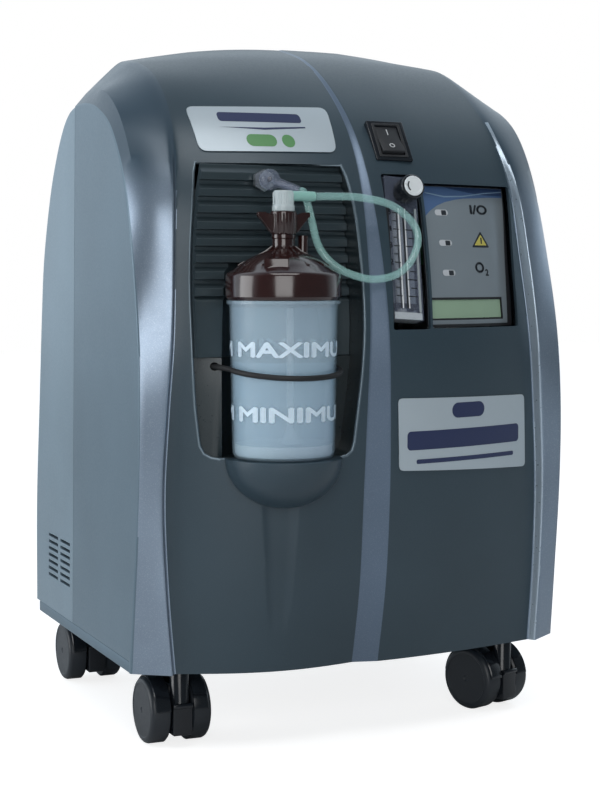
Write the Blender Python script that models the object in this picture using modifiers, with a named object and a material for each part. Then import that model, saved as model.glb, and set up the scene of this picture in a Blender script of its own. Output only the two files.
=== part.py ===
"""Home oxygen concentrator on four casters, built as an assembly of separate parts.

Frame: origin on the floor under the middle of the object, +Z up, the front faces -Y.
Lengths in the code are millimetres and are turned into metres when a mesh is made.
"""
import math

import bmesh
import bpy
from mathutils import Matrix, Vector

MM = 0.001
GAP = 0.3                      # clearance between neighbouring parts
WALL = 3.0                     # thickness of the moulded covers

# Casing. A rail is a line running from the front lower edge up and over to the seam.
BODY_BOTTOM = 52.0
LIP_TOP = 68.0                 # upper edge of the base tray on the sides and the back
LIP_FRONT_Y = -86.0            # the front cover reaches the floor edge ahead of this
SEAM_Y = 59.0                  # plane where the front and rear covers meet
SEAM_GAP = 0.5
SIDE_X_BOTTOM = 172.3
SIDE_TAPER = 0.01425           # how much a side leans in for each millimetre of height
TRIM = 3.0                     # rails run this far past their trimmed edges

# Front rails as (y, z) at eleven stations, from the floor edge to the seam.
SIDE_CREASE = [(-87, 48), (-95, 115), (-102, 180), (-104, 240), (-99, 295), (-85, 350),
               (-66, 402), (-35, 441), (-2, 458), (30, 465), (62, 466.5)]
CHEEK_EDGE = [(-106, 48), (-105.5, 115), (-105, 180), (-106.5, 240), (-107.5, 293), (-100.5, 350),
              (-88, 405), (-61, 447), (-22, 480), (20, 497), (62, 503)]
CHEEK_EDGE_X = [146, 151, 153, 150, 146, 142, 138, 133, 131, 131, 131]
CENTRE_RIDGE = [(-119, 48), (-134, 115), (-140.5, 180), (-141.5, 240), (-139, 297), (-127, 350),
                (-106, 403), (-77, 445), (-35, 480), (10, 504), (62, 519)]
CHEEK_STEP = [5.5, 6, 6.5, 7, 8, 9, 6.5, 3, 1, 1, 1]
SHOULDER_BULGE = [0, 0, 0, 0, 1, 4, 8, 11, 11, 6, 2]
KEEL_BULGE = [9, 8, 6, 4, 2, 0, 0, 0, 0, 0, 0]
RIDGE_X = 5.0
RIDGE_BAND = [18, 18, 18, 16, 13, 9.5, 6, 4, 3, 2, 2]    # facet to the left of the ridge
RIDGE_SLOPE = 0.25                                       # how far that facet falls back
CHEEK_BAND_WIDTH = 3.0

# Rear rails as (y, z) at ten stations, from the tray up to the seam.
REAR_SIDE = [(169, 64), (170.5, 150), (163, 234), (157, 300), (150, 350), (132, 399), (113, 430),
             (94, 451), (76, 462), (56, 466)]
REAR_CORNER = [(174, 64), (175.5, 150), (170, 234), (164, 300), (157.5, 350), (143, 402), (124, 441),
               (103, 470), (81, 491), (56, 503)]
REAR_CORNER_X = [159, 159, 157, 155, 152, 147, 142, 137, 133, 131]
REAR_CENTRE = [(175, 64), (176, 150), (171.5, 234), (166, 300), (160, 352), (147, 405), (129, 448),
               (108, 480), (84, 504), (56, 519)]

# Humidifier bottle and its recess
BOTTLE_X, BOTTLE_Y = -74.4, -134.0
RECESS_Z = (210.7, 415.5)
RECESS_MOUTH = [(-119.5, 415.5), (-127, 362), (-130.5, 300), (-130.5, 270), (-128.5, 225), (-125, 215.5),
                (-119, 210.7), (-30, 210.7), (-25.5, 214.5), (-21.5, 225), (-16.5, 268), (-13.5, 300),
                (-11.5, 344), (-10.8, 386), (-13.2, 415.5)]
RECESS_BACK_Y = -89.0
LOWER_WALL_Y = -116.0
LOWER_WALL_TOP = 280.0
NEST_RADIUS = 43.0
NEST_TOP = 346.0
LOUVRE_PITCH = 11.6
LOUVRE_DEPTH = 7.0
PANEL_TOP_Y = -95.0            # front of the louvred panel at its top
PANEL_LEAN = 0.15              # how far it comes forward for each millimetre down
JAR_BOTTOM, JAR_TOP = 211.0, 320.0
JAR_R_BOTTOM, JAR_R_TOP, JAR_FLANGE = 35.6, 37.6, 39.4
LID_R, LID_BAND_TOP, LID_CONE_TOP, NECK_TOP = 40.0, 336.0, 353.5, 365.0
NUT_TOP = 381.0
ADAPTOR_TOP = 395.2
HOSE_RADIUS = 2.75
OUTLET = Vector((-75.5, -112.0, 403.8))
ELBOW_END = Vector((-58.6, -124.5, 396.0))
STRAP_RADIUS = 1.9

# Controls on the right of the front
SWITCH_CENTRE = Vector((30.0, -84.7, 434.4))
SWITCH_TILT = 33.0             # degrees the switch face looks up
SWITCH_REST = 8.0              # the rocker's travel to each side, in degrees
FLOW_CENTRE = Vector((28.0, -109.5, 354.5))
FLOW_TILT = 15.0
FLOW_LEAN = 3.8                # degrees the flowmeter leans to the right
FLOW_SIZE = (29.0, 18.0, 107.0)
FLOW_MOUTH = [(15.5, 410.5), (8.5, 298.5), (40.0, 298.5), (46.5, 410.5)]
UPPER_PLATE = [(-14.8, 425.8), (-9.6, 460.8), (-117.0, 458.4), (-115.0, 424.8)]
LOWER_PLATE = [(136.5, 192.6), (134.9, 247.4), (10.5, 250.0), (11.6, 198.4)]
KNOB_UP = 41.0                 # knob height above the middle of the flowmeter
KNOB_RADIUS = 9.2
PANEL_MOUTH = [(48.5, 404.5), (42.0, 299.0), (130.0, 299.0), (133.2, 404.5)]
PANEL_DEPTH = 8.0
DISPLAY_X, DISPLAY_Z = (46.5, 119.0), (305.5, 319.5)
LIGHT_X, LIGHT_Z = 68.5, (383.5, 361.0, 339.0)

# Casters
CASTER_X, CASTER_FRONT_Y, CASTER_REAR_Y = 133.0, -80.0, 132.8
CASTER_TRAIL = 17.0
CASTER_SEAT = 1.0
WHEEL_RADIUS, WHEEL_WIDTH, WHEEL_OFFSET = 24.0, 15.0, 15.5
HOOD_INNER, HOOD_OUTER = 25.0, 27.0

parts = None
cutters = None


def clear_scene():
    for item in list(bpy.data.objects):
        bpy.data.objects.remove(item, do_unlink=True)


def make_collections():
    global parts, cutters
    parts = bpy.data.collections.new("oxygen_concentrator")
    cutters = bpy.data.collections.new("cutters")
    bpy.context.scene.collection.children.link(parts)
    bpy.context.scene.collection.children.link(cutters)


def material(name, colour, roughness, metallic=0.0):
    found = bpy.data.materials.get(name)
    if found:
        return found
    made = bpy.data.materials.new(name)
    made.use_nodes = True
    shader = made.node_tree.nodes["Principled BSDF"]
    shader.inputs["Base Color"].default_value = (*colour, 1.0)
    shader.inputs["Roughness"].default_value = roughness
    shader.inputs["Metallic"].default_value = metallic
    return made


def casing_plastic():
    return material("slate_plastic", (0.10, 0.13, 0.16), 0.35)


def black_plastic():
    return material("black_plastic", (0.02, 0.02, 0.022), 0.4)


def white_plastic():
    return material("white_plastic", (0.8, 0.82, 0.82), 0.35)


def bare_metal():
    return material("bare_metal", (0.6, 0.6, 0.62), 0.35, 1.0)


def brown_plastic():
    return material("brown_plastic", (0.06, 0.02, 0.015), 0.25)


def clear_plastic():
    return material("clear_plastic", (0.6, 0.7, 0.78), 0.15)


def rubber():
    return material("rubber", (0.02, 0.02, 0.02), 0.7)


def add(name, data, finish=None):
    """Link a new object: a part when it has a finish, otherwise a hidden cutter."""
    made = bpy.data.objects.new(name, data)
    if finish:
        parts.objects.link(made)
        data.materials.append(finish)
    else:
        cutters.objects.link(made)
        made.hide_render = True
        made.display_type = "WIRE"
    return made


def mesh_from(bm, name):
    mesh = bpy.data.meshes.new(name)
    bm.to_mesh(mesh)
    bm.free()
    return mesh


def smooth(obj, angle=35.0):
    obj.data.shade_smooth()
    obj.data.set_sharp_from_angle(angle=math.radians(angle))
    return obj


def box(name, low, high, finish=None, matrix=None):
    """A block between two corners, placed by an optional matrix."""
    low, high = Vector(low), Vector(high)
    size = (high - low) * MM
    middle = (high + low) * 0.5 * MM
    bm = bmesh.new()
    bmesh.ops.create_cube(bm, size=1.0)
    bmesh.ops.scale(bm, vec=size, verts=bm.verts)
    bmesh.ops.translate(bm, vec=middle, verts=bm.verts)
    made = add(name, mesh_from(bm, name), finish)
    if matrix:
        made.matrix_world = matrix
    return made


def boxes(name, corners, matrix=None):
    """One cutter made of several separate blocks."""
    bm = bmesh.new()
    for low, high in corners:
        low, high = Vector(low), Vector(high)
        made = bmesh.ops.create_cube(bm, size=1.0)["verts"]
        bmesh.ops.scale(bm, vec=(high - low) * MM, verts=made)
        bmesh.ops.translate(bm, vec=(high + low) * 0.5 * MM, verts=made)
    cutter = add(name, mesh_from(bm, name))
    if matrix:
        cutter.matrix_world = matrix
    return cutter


def rod(name, start, end, radius, finish=None, sides=20, end_radius=None):
    """A round bar or cone between two points."""
    start, end = Vector(start), Vector(end)
    bm = bmesh.new()
    bmesh.ops.create_cone(bm, cap_ends=True, segments=sides, radius1=radius * MM,
                          radius2=(radius if end_radius is None else end_radius) * MM,
                          depth=(end - start).length * MM)
    made = add(name, mesh_from(bm, name), finish)
    made.location = (start + end) * 0.5 * MM
    made.rotation_euler = (end - start).to_track_quat("Z", "Y").to_euler()
    return smooth(made)


def ball(name, centre, radius, finish=None, rings=8):
    bm = bmesh.new()
    bmesh.ops.create_uvsphere(bm, u_segments=2 * rings, v_segments=rings, radius=radius * MM)
    made = add(name, mesh_from(bm, name), finish)
    made.location = Vector(centre) * MM
    return smooth(made, 60)


def turned(name, profile, place, finish=None, steps=28, rotation=(0, 0, 0), closed=False):
    """A shape turned about its own Z axis from (radius, height) points."""
    bm = bmesh.new()
    made = [bm.verts.new((r * MM, 0, z * MM)) for r, z in profile]
    for first, second in zip(made, made[1:]):
        bm.edges.new((first, second))
    if closed:
        bm.edges.new((made[-1], made[0]))
    obj = add(name, mesh_from(bm, name), finish)
    obj.location = Vector(place) * MM
    obj.rotation_euler = rotation
    screw = obj.modifiers.new("Screw", "SCREW")
    screw.steps = steps
    screw.render_steps = steps
    screw.use_merge_vertices = True
    screw.merge_threshold = 0.00001
    screw.use_smooth_shade = False
    return obj


def outline(name, points, thickness, matrix, finish=None):
    """A flat outline given thickness about its own plane, as a mesh."""
    curve = bpy.data.curves.new(name, "CURVE")
    curve.dimensions = "2D"
    curve.fill_mode = "BOTH"
    curve.extrude = thickness * 0.5 * MM
    line = curve.splines.new("POLY")
    line.points.add(len(points) - 1)
    for point, (x, y) in zip(line.points, points):
        point.co = (x * MM, y * MM, 0, 1)
    line.use_cyclic_u = True
    flat = bpy.data.objects.new(name + "_curve", curve)
    bpy.context.scene.collection.objects.link(flat)
    bpy.context.view_layer.update()
    mesh = bpy.data.meshes.new_from_object(flat.evaluated_get(bpy.context.evaluated_depsgraph_get()))
    bpy.data.objects.remove(flat, do_unlink=True)
    bm = bmesh.new()
    bm.from_mesh(mesh)
    bmesh.ops.remove_doubles(bm, verts=bm.verts, dist=0.00001)
    bmesh.ops.recalc_face_normals(bm, faces=bm.faces)
    bm.to_mesh(mesh)
    bm.free()
    made = add(name, mesh, finish)
    made.matrix_world = matrix
    return made


def tube(name, points, radius, finish, resolution=2):
    """A round tube along a list of points."""
    curve = bpy.data.curves.new(name, "CURVE")
    curve.dimensions = "3D"
    curve.bevel_depth = radius * MM
    curve.bevel_resolution = resolution
    curve.use_fill_caps = True
    line = curve.splines.new("POLY")
    line.points.add(len(points) - 1)
    for point, place in zip(line.points, points):
        point.co = (*(Vector(place) * MM), 1)
    return add(name, curve, finish)


def boolean(obj, cutter, operation="DIFFERENCE", solver="EXACT"):
    step = obj.modifiers.new(operation.title(), "BOOLEAN")
    step.operation = operation
    step.solver = solver
    step.object = cutter
    return obj


def cut_shell(cover, cutter):
    """Cut a thin moulded cover; the exact solver loses these shells."""
    return boolean(cover, cutter, "DIFFERENCE", "MANIFOLD")


def bevel(obj, width, segments=2, angle=40.0):
    step = obj.modifiers.new("Bevel", "BEVEL")
    step.width = width * MM
    step.segments = segments
    step.limit_method = "ANGLE"
    step.angle_limit = math.radians(angle)
    return obj


def upright(y):
    """Matrix that stands an XY outline up in the XZ plane at the given y."""
    return Matrix.Translation((0, y * MM, 0)) @ Matrix.Rotation(math.radians(90), 4, "X")


def level(z):
    return Matrix.Translation((0, 0, z * MM))


def sideways(x):
    """Matrix that turns an outline drawn as (y, z) to face along X at the given x."""
    turn = Matrix(((0, 0, 1, 0), (1, 0, 0, 0), (0, 1, 0, 0), (0, 0, 0, 1)))
    return Matrix.Translation((x * MM, 0, 0)) @ turn


def tilted(place, degrees):
    """Matrix at a place, with -Y leaning up by the given degrees."""
    return Matrix.Translation(Vector(place) * MM) @ Matrix.Rotation(math.radians(-degrees), 4, "X")


def rounded_rectangle(low, high, radius, steps=3):
    """Corner-rounded rectangle as (x, y) points, counter-clockwise."""
    centres = [(high[0] - radius, high[1] - radius, 0), (low[0] + radius, high[1] - radius, 90),
               (low[0] + radius, low[1] + radius, 180), (high[0] - radius, low[1] + radius, 270)]
    points = []
    for x, y, start in centres:
        for step in range(steps + 1):
            angle = math.radians(start + 90 * step / steps)
            points.append((x + radius * math.cos(angle), y + radius * math.sin(angle)))
    return points


def rounded_corners(points, radius, steps=3):
    """The outline with each corner replaced by a small curve."""
    count = len(points)
    made = []
    for i in range(count):
        before, here, after = (Vector(points[(i + k) % count]) for k in (-1, 0, 1))
        start = here + (before - here).normalized() * radius
        end = here + (after - here).normalized() * radius
        for step in range(steps + 1):
            t = step / steps
            made.append(tuple(start * (1 - t) ** 2 + here * 2 * t * (1 - t) + end * t * t))
    return made


def through_points(points, steps):
    """Catmull-Rom curve through the points, with the given steps in each span."""
    points = [Vector(p) for p in points]
    padded = [points[0] * 2 - points[1], *points, points[-1] * 2 - points[-2]]
    curve = []
    for a, b, c, d in zip(padded, padded[1:], padded[2:], padded[3:]):
        for step in range(steps):
            t = step / steps
            curve.append(0.5 * (2 * b + (c - a) * t + (2 * a - 5 * b + 4 * c - d) * t * t
                                + (3 * b - a - 3 * c + d) * t ** 3))
    curve.append(points[-1])
    return curve


# ---------------------------------------------------------------- casing surface

def side_x(z):
    return SIDE_X_BOTTOM - SIDE_TAPER * (z - BODY_BOTTOM)


def outward(rail, index):
    """Unit normal of a rail in its YZ plane, pointing out of the casing."""
    before = rail[max(index - 1, 0)]
    after = rail[min(index + 1, len(rail) - 1)]
    along = (after - before).normalized()
    return Vector((0, -along.z, along.y))


def moved_out(rail, distances, shift_x=0.0):
    moved = []
    for index, (point, distance) in enumerate(zip(rail, distances)):
        moved.append(point + outward(rail, index) * distance + Vector((shift_x, 0, 0)))
    return moved


def bowed(edge, centre, share, power, bulge):
    """A rail between the cheek and the ridge on a section that bows outwards."""
    weight = 1 - (1 - share) ** power
    rail = []
    for a, b, extra in zip(edge, centre, bulge):
        point = a.lerp(b, weight)
        point.x = a.x + (b.x - a.x) * share
        point.y -= extra * math.sin(math.pi * share)
        rail.append(point)
    return rail


def front_half(side, ridge, power, bulge, shares):
    """Rails from one side of the front cover to the central ridge."""
    crease = [Vector((side * side_x(z), y, z)) for y, z in SIDE_CREASE]
    cheek = [Vector((side * x, y, z)) for x, (y, z) in zip(CHEEK_EDGE_X, CHEEK_EDGE)]
    middle = [a.lerp(b, 0.5) for a, b in zip(crease, cheek)]
    middle = moved_out(middle, [0.8 * b for b in SHOULDER_BULGE])
    middle = [p + Vector((side * 0.5 * b, 0, 0)) for p, b in zip(middle, SHOULDER_BULGE)]
    inner = moved_out(cheek, [-s for s in CHEEK_STEP], -side * CHEEK_BAND_WIDTH)
    between = [bowed(inner, ridge, share, power, bulge) for share in shares]
    return crease, [middle, cheek, inner, *between]


def front_rails(steps):
    """All rails of the front cover from left to right, each a list of points."""
    right_ridge = [Vector((RIDGE_X, y, z)) for y, z in CENTRE_RIDGE]
    left_ridge = moved_out(right_ridge, [-RIDGE_SLOPE * width for width in RIDGE_BAND])
    left_ridge = [p - Vector((width, 0, 0)) for p, width in zip(left_ridge, RIDGE_BAND)]
    no_keel = [0] * len(KEEL_BULGE)
    left_crease, left = front_half(-1, left_ridge, 2.0, KEEL_BULGE, (0.2, 0.45, 0.72))
    right_crease, right = front_half(1, right_ridge, 1.7, no_keel, (0.2, 0.45, 0.72))
    rails = [left_crease, *left, left_ridge, right_ridge, *reversed(right), right_crease]
    rails = [through_points(rail, steps) for rail in rails]
    left_seam = [Vector((p.x, SEAM_Y + TRIM, p.z)) for p in rails[0]]
    right_seam = [Vector((p.x, SEAM_Y + TRIM, p.z)) for p in rails[-1]]
    return [left_seam, *rails, right_seam]


def rear_rails(steps):
    side = [Vector((side_x(z), y, z)) for y, z in REAR_SIDE]
    corner = [Vector((x, y, z)) for x, (y, z) in zip(REAR_CORNER_X, REAR_CORNER)]
    centre = [Vector((0, y, z)) for y, z in REAR_CENTRE]
    no_keel = [0] * len(centre)
    between = [bowed(corner, centre, share, 1.7, no_keel) for share in (0.25, 0.55)]
    half = [through_points(rail, steps) for rail in (side, corner, *between)]
    middle = through_points(centre, steps)
    seam = [Vector((p.x, SEAM_Y - TRIM, p.z)) for p in half[0]]
    half = [seam, *half]
    mirrored = [[Vector((-p.x, p.y, p.z)) for p in rail] for rail in half]
    return [*half, middle, *reversed(mirrored)]


def loft(name, rails, finish=None):
    """Open surface over rails that share their stations, normals to the left of travel."""
    bm = bmesh.new()
    grid = [[bm.verts.new(p * MM) for p in rail] for rail in rails]
    for left, right in zip(grid, grid[1:]):
        for row in range(len(left) - 1):
            bm.faces.new((left[row], right[row], right[row + 1], left[row + 1]))
    bmesh.ops.remove_doubles(bm, verts=bm.verts, dist=0.0002)
    bmesh.ops.dissolve_degenerate(bm, edges=bm.edges, dist=0.0001)
    return smooth(add(name, mesh_from(bm, name), finish), 20)


def solidify(obj, outer, inner):
    """Give an open surface body between two depths, positive outwards."""
    step = obj.modifiers.new("Solidify", "SOLIDIFY")
    thickness = outer - inner
    step.thickness = thickness * MM
    step.offset = (outer + inner) / thickness
    step.use_even_offset = True
    return obj


def front_skin(name, outer, inner, finish=None, first=4, last=15):
    """The part of the front surface between the cheeks, at given depths."""
    return solidify(loft(name, front_rails(2)[first:last], finish), outer, inner)


def make_front_cover():
    cover = solidify(loft("front_cover", front_rails(2), casing_plastic()), 0, -WALL)
    trims = [((-200, -200, 20), (200, 200, BODY_BOTTOM)),
             ((-200, LIP_FRONT_Y, 10), (200, 210, LIP_TOP)),
             ((-200, SEAM_Y - SEAM_GAP / 2, 5), (200, 205, 600))]
    for low, high in trims:
        cut_shell(cover, box("cut_cover_edge", low, high))
    cut_shell(cover, outline("cut_recess_mouth", RECESS_MOUTH, 120, upright(-130)))
    cut_shell(cover, outline("cut_panel_mouth", PANEL_MOUTH, 140, upright(-120)))
    cut_shell(cover, outline("cut_flow_mouth", FLOW_MOUTH, 140, upright(-140)))
    switch = tilted(SWITCH_CENTRE, SWITCH_TILT)
    cut_shell(cover, box("cut_switch_mouth", (-12.2, -20, -15.2), (12.2, 20, 15.2), matrix=switch))
    channel = front_skin("cut_channel", 3, -1.6, first=4, last=11)
    taper = [(-89.5, 182), (-84, 112), (-82, 102), (-77, 96), (-71, 101), (-68.5, 110), (-64.5, 182)]
    boolean(channel, outline("channel_shape", taper, 160, upright(-130)), "INTERSECT")
    cut_shell(cover, channel)
    return cover


def make_rear_cover():
    cover = solidify(loft("rear_cover", rear_rails(2), casing_plastic()), 0, -WALL)
    cut_shell(cover, box("cut_rear_edge", (-200, -100, 10), (200, 250, LIP_TOP)))
    cut_shell(cover, box("cut_rear_seam", (-200, -105, 5), (200, SEAM_Y + SEAM_GAP / 2, 600)))
    slots = []
    for side in (-1, 1):
        x = sorted((side * 150, side * 190))
        for y, z_top in ((103, 126), (68, 126)):
            for row in range(7):
                z = z_top - 5.4 * row
                slots.append(((x[0], y, z - 1.2), (x[1], y + 28, z + 1.2)))
    cut_shell(cover, boxes("cut_vents", slots))
    cut_shell(cover, box("cut_filter_mouth", (-60, 100, 236), (60, 220, 326)))
    cut_shell(cover, box("cut_handle_mouth", (-60, 60, 404), (60, 240, 446)))
    cut_shell(cover, box("cut_inlet_mouth", (-114, 130, 86), (-80, 230, 112)))
    cut_shell(cover, rod("cut_breaker_mouth", (-60, 130, 99), (-60, 230, 99), 6.4))
    return cover


def make_base_tray():
    half = [(LIP_FRONT_Y + GAP, -172), (160, -172), (168, -166), (173.5, -155)]
    ring = [(x, y) for y, x in half] + [(-x, y) for y, x in reversed(half)]
    nose = [(166, LIP_FRONT_Y + GAP), (158, -90), (138, -97), (90, -107), (40, -112)]
    ring += nose + [(-x, y) for x, y in reversed(nose)]
    tray = outline("base_tray", ring, LIP_TOP - BODY_BOTTOM - GAP, level((LIP_TOP + BODY_BOTTOM - GAP) / 2),
                   casing_plastic())
    well = [(x * 0.978, y * 0.97 + 1) for x, y in ring]
    cut_shell(tray, outline("cut_tray_well", well, 20, level(66)))
    for x in (-CASTER_X, CASTER_X):
        for y in (CASTER_FRONT_Y, CASTER_REAR_Y):
            cut_shell(tray, rod("cut_stem_hole", (x, y, 40), (x, y, 80), 4.4, sides=16))
            cut_shell(tray, box("cut_caster_seat", (x - 27, y - 7.5, 40), (x + 27, y + 32, BODY_BOTTOM + CASTER_SEAT)))
    return tray


# ---------------------------------------------------------------- bottle recess

def nest_cutter(name, radius, top):
    bottom = RECESS_Z[0] + 0.1
    return rod(name, (BOTTLE_X, BOTTLE_Y, bottom), (BOTTLE_X, BOTTLE_Y, top), radius, sides=40)


def grown(points, amount):
    """The outline pushed outwards by about the given amount on every side."""
    xs, zs = [p[0] for p in points], [p[1] for p in points]
    middle = ((min(xs) + max(xs)) / 2, (min(zs) + max(zs)) / 2)
    scale = [1 + 2 * amount / (max(values) - min(values)) for values in (xs, zs)]
    return [(middle[0] + (x - middle[0]) * scale[0], middle[1] + (z - middle[1]) * scale[1]) for x, z in points]


def make_recess_liner():
    wall = 3.2
    front, back = -140, RECESS_BACK_Y + wall
    liner = outline("recess_liner", grown(RECESS_MOUTH, wall), back - front, upright((front + back) / 2),
                    casing_plastic())
    boolean(liner, front_skin("cut_liner_front", 70, -WALL - 3 * GAP, first=4, last=12))
    room = outline("cut_recess", RECESS_MOUTH, 160, upright(RECESS_BACK_Y - 80))
    boolean(room, box("recess_lower_wall", (-200, LOWER_WALL_Y, 150), (50, 0, LOWER_WALL_TOP)))
    boolean(room, nest_cutter("recess_nest", NEST_RADIUS, NEST_TOP), "UNION")
    boolean(liner, room)
    for x in (BOTTLE_X - NEST_RADIUS, BOTTLE_X + NEST_RADIUS):
        boolean(liner, rod("cut_strap_hole", (x, -150, 274), (x, -60, 274), STRAP_RADIUS + 1, sides=14))
    boolean(liner, rod("cut_outlet_hole", (OUTLET.x, -120, OUTLET.z), (OUTLET.x, -60, OUTLET.z), 4.8, sides=12))
    return liner


def louvre_profile():
    """The panel's outline as (y, z): a leaning front with a sawtooth of slats."""
    top = RECESS_Z[1] - GAP
    bottom = LOWER_WALL_TOP + GAP

    def front(z):
        return PANEL_TOP_Y - PANEL_LEAN * (RECESS_Z[1] - z)

    points = [(RECESS_BACK_Y - GAP, top), (front(top) + LOUVRE_DEPTH * 0.6, top)]
    z = top - 3
    while z > 322:
        points += [(front(z) + LOUVRE_DEPTH * 0.6, z), (front(z - 4), z - 3),
                   (front(z - 8.4), z - LOUVRE_PITCH + 3.2)]
        z -= LOUVRE_PITCH
        points.append((front(z) + LOUVRE_DEPTH * 0.6, z + 3.2))
    points += [(front(z), z), (front(bottom), bottom), (RECESS_BACK_Y - GAP, bottom)]
    return points


def make_louvre_panel():
    panel = outline("louvre_panel", louvre_profile(), 130, sideways(-70), casing_plastic())
    boolean(panel, outline("louvre_panel_shape", grown(RECESS_MOUTH, -GAP), 160, upright(-130)), "INTERSECT")
    boolean(panel, nest_cutter("cut_panel_nest", NEST_RADIUS, NEST_TOP))
    boolean(panel, rod("cut_panel_outlet", (OUTLET.x, -120, OUTLET.z), (OUTLET.x, -60, OUTLET.z), 4.8, sides=12))
    return panel


def make_bottle_shelf():
    bm = bmesh.new()
    bmesh.ops.create_uvsphere(bm, u_segments=32, v_segments=16, radius=1.0)
    bmesh.ops.scale(bm, vec=Vector((40.5, 42.5, 35)) * MM, verts=bm.verts)
    shelf = add("bottle_shelf", mesh_from(bm, "bottle_shelf"), casing_plastic())
    shelf.location = Vector((BOTTLE_X, BOTTLE_Y, RECESS_Z[0])) * MM
    boolean(shelf, box("cut_shelf_top", (-200, -220, RECESS_Z[0]), (50, 0, 300)))
    boolean(shelf, front_skin("cut_shelf_back", GAP, -70, first=4, last=12))
    return smooth(shelf, 40)


def make_plates():
    upper = front_skin("upper_plate", 1.2, GAP, white_plastic())
    boolean(upper, outline("upper_plate_shape", rounded_corners(UPPER_PLATE, 6), 200, upright(-110)), "INTERSECT")
    lower = front_skin("lower_plate", 1.2, GAP, white_plastic())
    boolean(lower, outline("lower_plate_shape", rounded_corners(LOWER_PLATE, 4), 150, upright(-130)), "INTERSECT")


# ---------------------------------------------------------------- bottle

def make_bottle():
    place = (BOTTLE_X, BOTTLE_Y, 0)
    jar = [(0, 213), (33.2, 213), (34.2, 215), (35.9, JAR_TOP), (JAR_FLANGE, JAR_TOP), (JAR_FLANGE, JAR_TOP - 2.8),
           (JAR_R_TOP, JAR_TOP - 3.4), (JAR_R_BOTTOM, 216), (JAR_R_BOTTOM - 0.8, 213), (JAR_R_BOTTOM - 3, JAR_BOTTOM), (0, JAR_BOTTOM)]
    turned("bottle_jar", jar, place, clear_plastic(), steps=28)
    lid = [(0, NUT_TOP - 0.5), (3.8, NUT_TOP - 0.5), (3.8, NECK_TOP), (8.6, NECK_TOP), (8.6, LID_CONE_TOP + 1),
           (14, LID_CONE_TOP), (34, 341.5), (38.5, 338.5), (LID_R, LID_BAND_TOP), (LID_R, JAR_TOP + GAP),
           (35.4, JAR_TOP + GAP), (35.2, 315), (0, 315)]
    cap = turned("bottle_lid", lid, place, brown_plastic(), steps=28)
    boolean(cap, box("lid_valve_box", (-98, -163, 335), (-79, -150, 349)), "UNION")
    boolean(cap, rod("lid_outlet_post", (-58, -130, 340), (-58, -130, 364.5), 3.6, sides=12), "UNION")
    dip = [(0, 314.6), (2.4, 314.6), (2.4, 230), (7.6, 228), (7.6, 221), (0, 221)]
    turned("diffuser_tube", dip, (BOTTLE_X + 5, BOTTLE_Y, 0), white_plastic(), steps=14)


def make_wing_nut():
    hub = [(4.3, NUT_TOP), (9.4, NUT_TOP), (9.4, 368), (8.4, NECK_TOP + GAP), (4.3, NECK_TOP + GAP)]
    nut = turned("wing_nut", hub, (BOTTLE_X, BOTTLE_Y, 0), brown_plastic(), steps=20, closed=True)
    for side in (-1, 1):
        wing = [(side * 7, 367), (side * 12, 368), (side * 19.5, 377), (side * 19.5, 380.5),
                (side * 16, 380.5), (side * 7, 376)]
        if side < 0:
            wing.reverse()
        place = Matrix.Translation((BOTTLE_X * MM, BOTTLE_Y * MM, 0)) @ Matrix.Rotation(math.radians(90), 4, "X")
        boolean(nut, outline("wing", wing, 5, place), "UNION")
    return nut


def make_hose_parts():
    adaptor = rod("hose_adaptor", (BOTTLE_X, BOTTLE_Y, NUT_TOP + GAP), (BOTTLE_X, BOTTLE_Y, ADAPTOR_TOP), 7.9,
                  white_plastic(), sides=20, end_radius=7.2)
    boolean(adaptor, rod("adaptor_cuff", (BOTTLE_X + 4, BOTTLE_Y, 391.6), (-51.2, BOTTLE_Y, 391.6), 3.5,
                         sides=14), "UNION")
    elbow = ball("outlet_elbow", OUTLET, 7.6, clear_plastic())
    boolean(elbow, rod("elbow_neck", OUTLET, (OUTLET.x, -102.9, OUTLET.z), 4.6, sides=14), "UNION")
    boolean(elbow, rod("elbow_arm", OUTLET, ELBOW_END, 3.4, sides=14), "UNION")
    fitting = rod("outlet_fitting", (OUTLET.x, -102.6, OUTLET.z), (OUTLET.x, -98.6, OUTLET.z), 8.0, bare_metal(),
                  sides=6)
    boolean(fitting, rod("fitting_stem", (OUTLET.x, -100, OUTLET.z), (OUTLET.x, -78, OUTLET.z), 4.4, sides=14),
            "UNION")
    along = (ELBOW_END - OUTLET).normalized()
    route = [ELBOW_END + along * 1.0, ELBOW_END + along * 3.5, (-53.5, -127, 388), (-51.5, -131, 374),
             (-50.5, -136, 361.5), (-47.5, -140, 352.5), (-41, -144, 344.5), (-31, -147, 338.5), (-15, -148, 334.5),
             (1, -147, 336), (14.5, -144, 342), (24.5, -140, 353.5), (28, -137, 365.5), (22.5, -135.5, 376.5),
             (7, -134.5, 387), (-16, -134, 391.5), (-36, -134, 391.9), (-50.6, -134, 391.6)]
    tube("oxygen_hose", through_points(route, 3), HOSE_RADIUS, material("hose", (0.4, 0.6, 0.55), 0.3))


def make_strap():
    reach = JAR_R_TOP + STRAP_RADIUS + 0.4
    points = [(BOTTLE_X - NEST_RADIUS, -104, 274), (BOTTLE_X - NEST_RADIUS, -118, 274)]
    for step in range(9):
        angle = math.pi * step / 8
        sag = 5 * math.sin(angle)
        points.append((BOTTLE_X - reach * math.cos(angle), BOTTLE_Y - reach * math.sin(angle), 273 - sag))
    points += [(BOTTLE_X + NEST_RADIUS, -118, 274), (BOTTLE_X + NEST_RADIUS, -104, 274)]
    tube("bottle_strap", through_points(points, 2), STRAP_RADIUS, rubber())


# ---------------------------------------------------------------- controls

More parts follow.
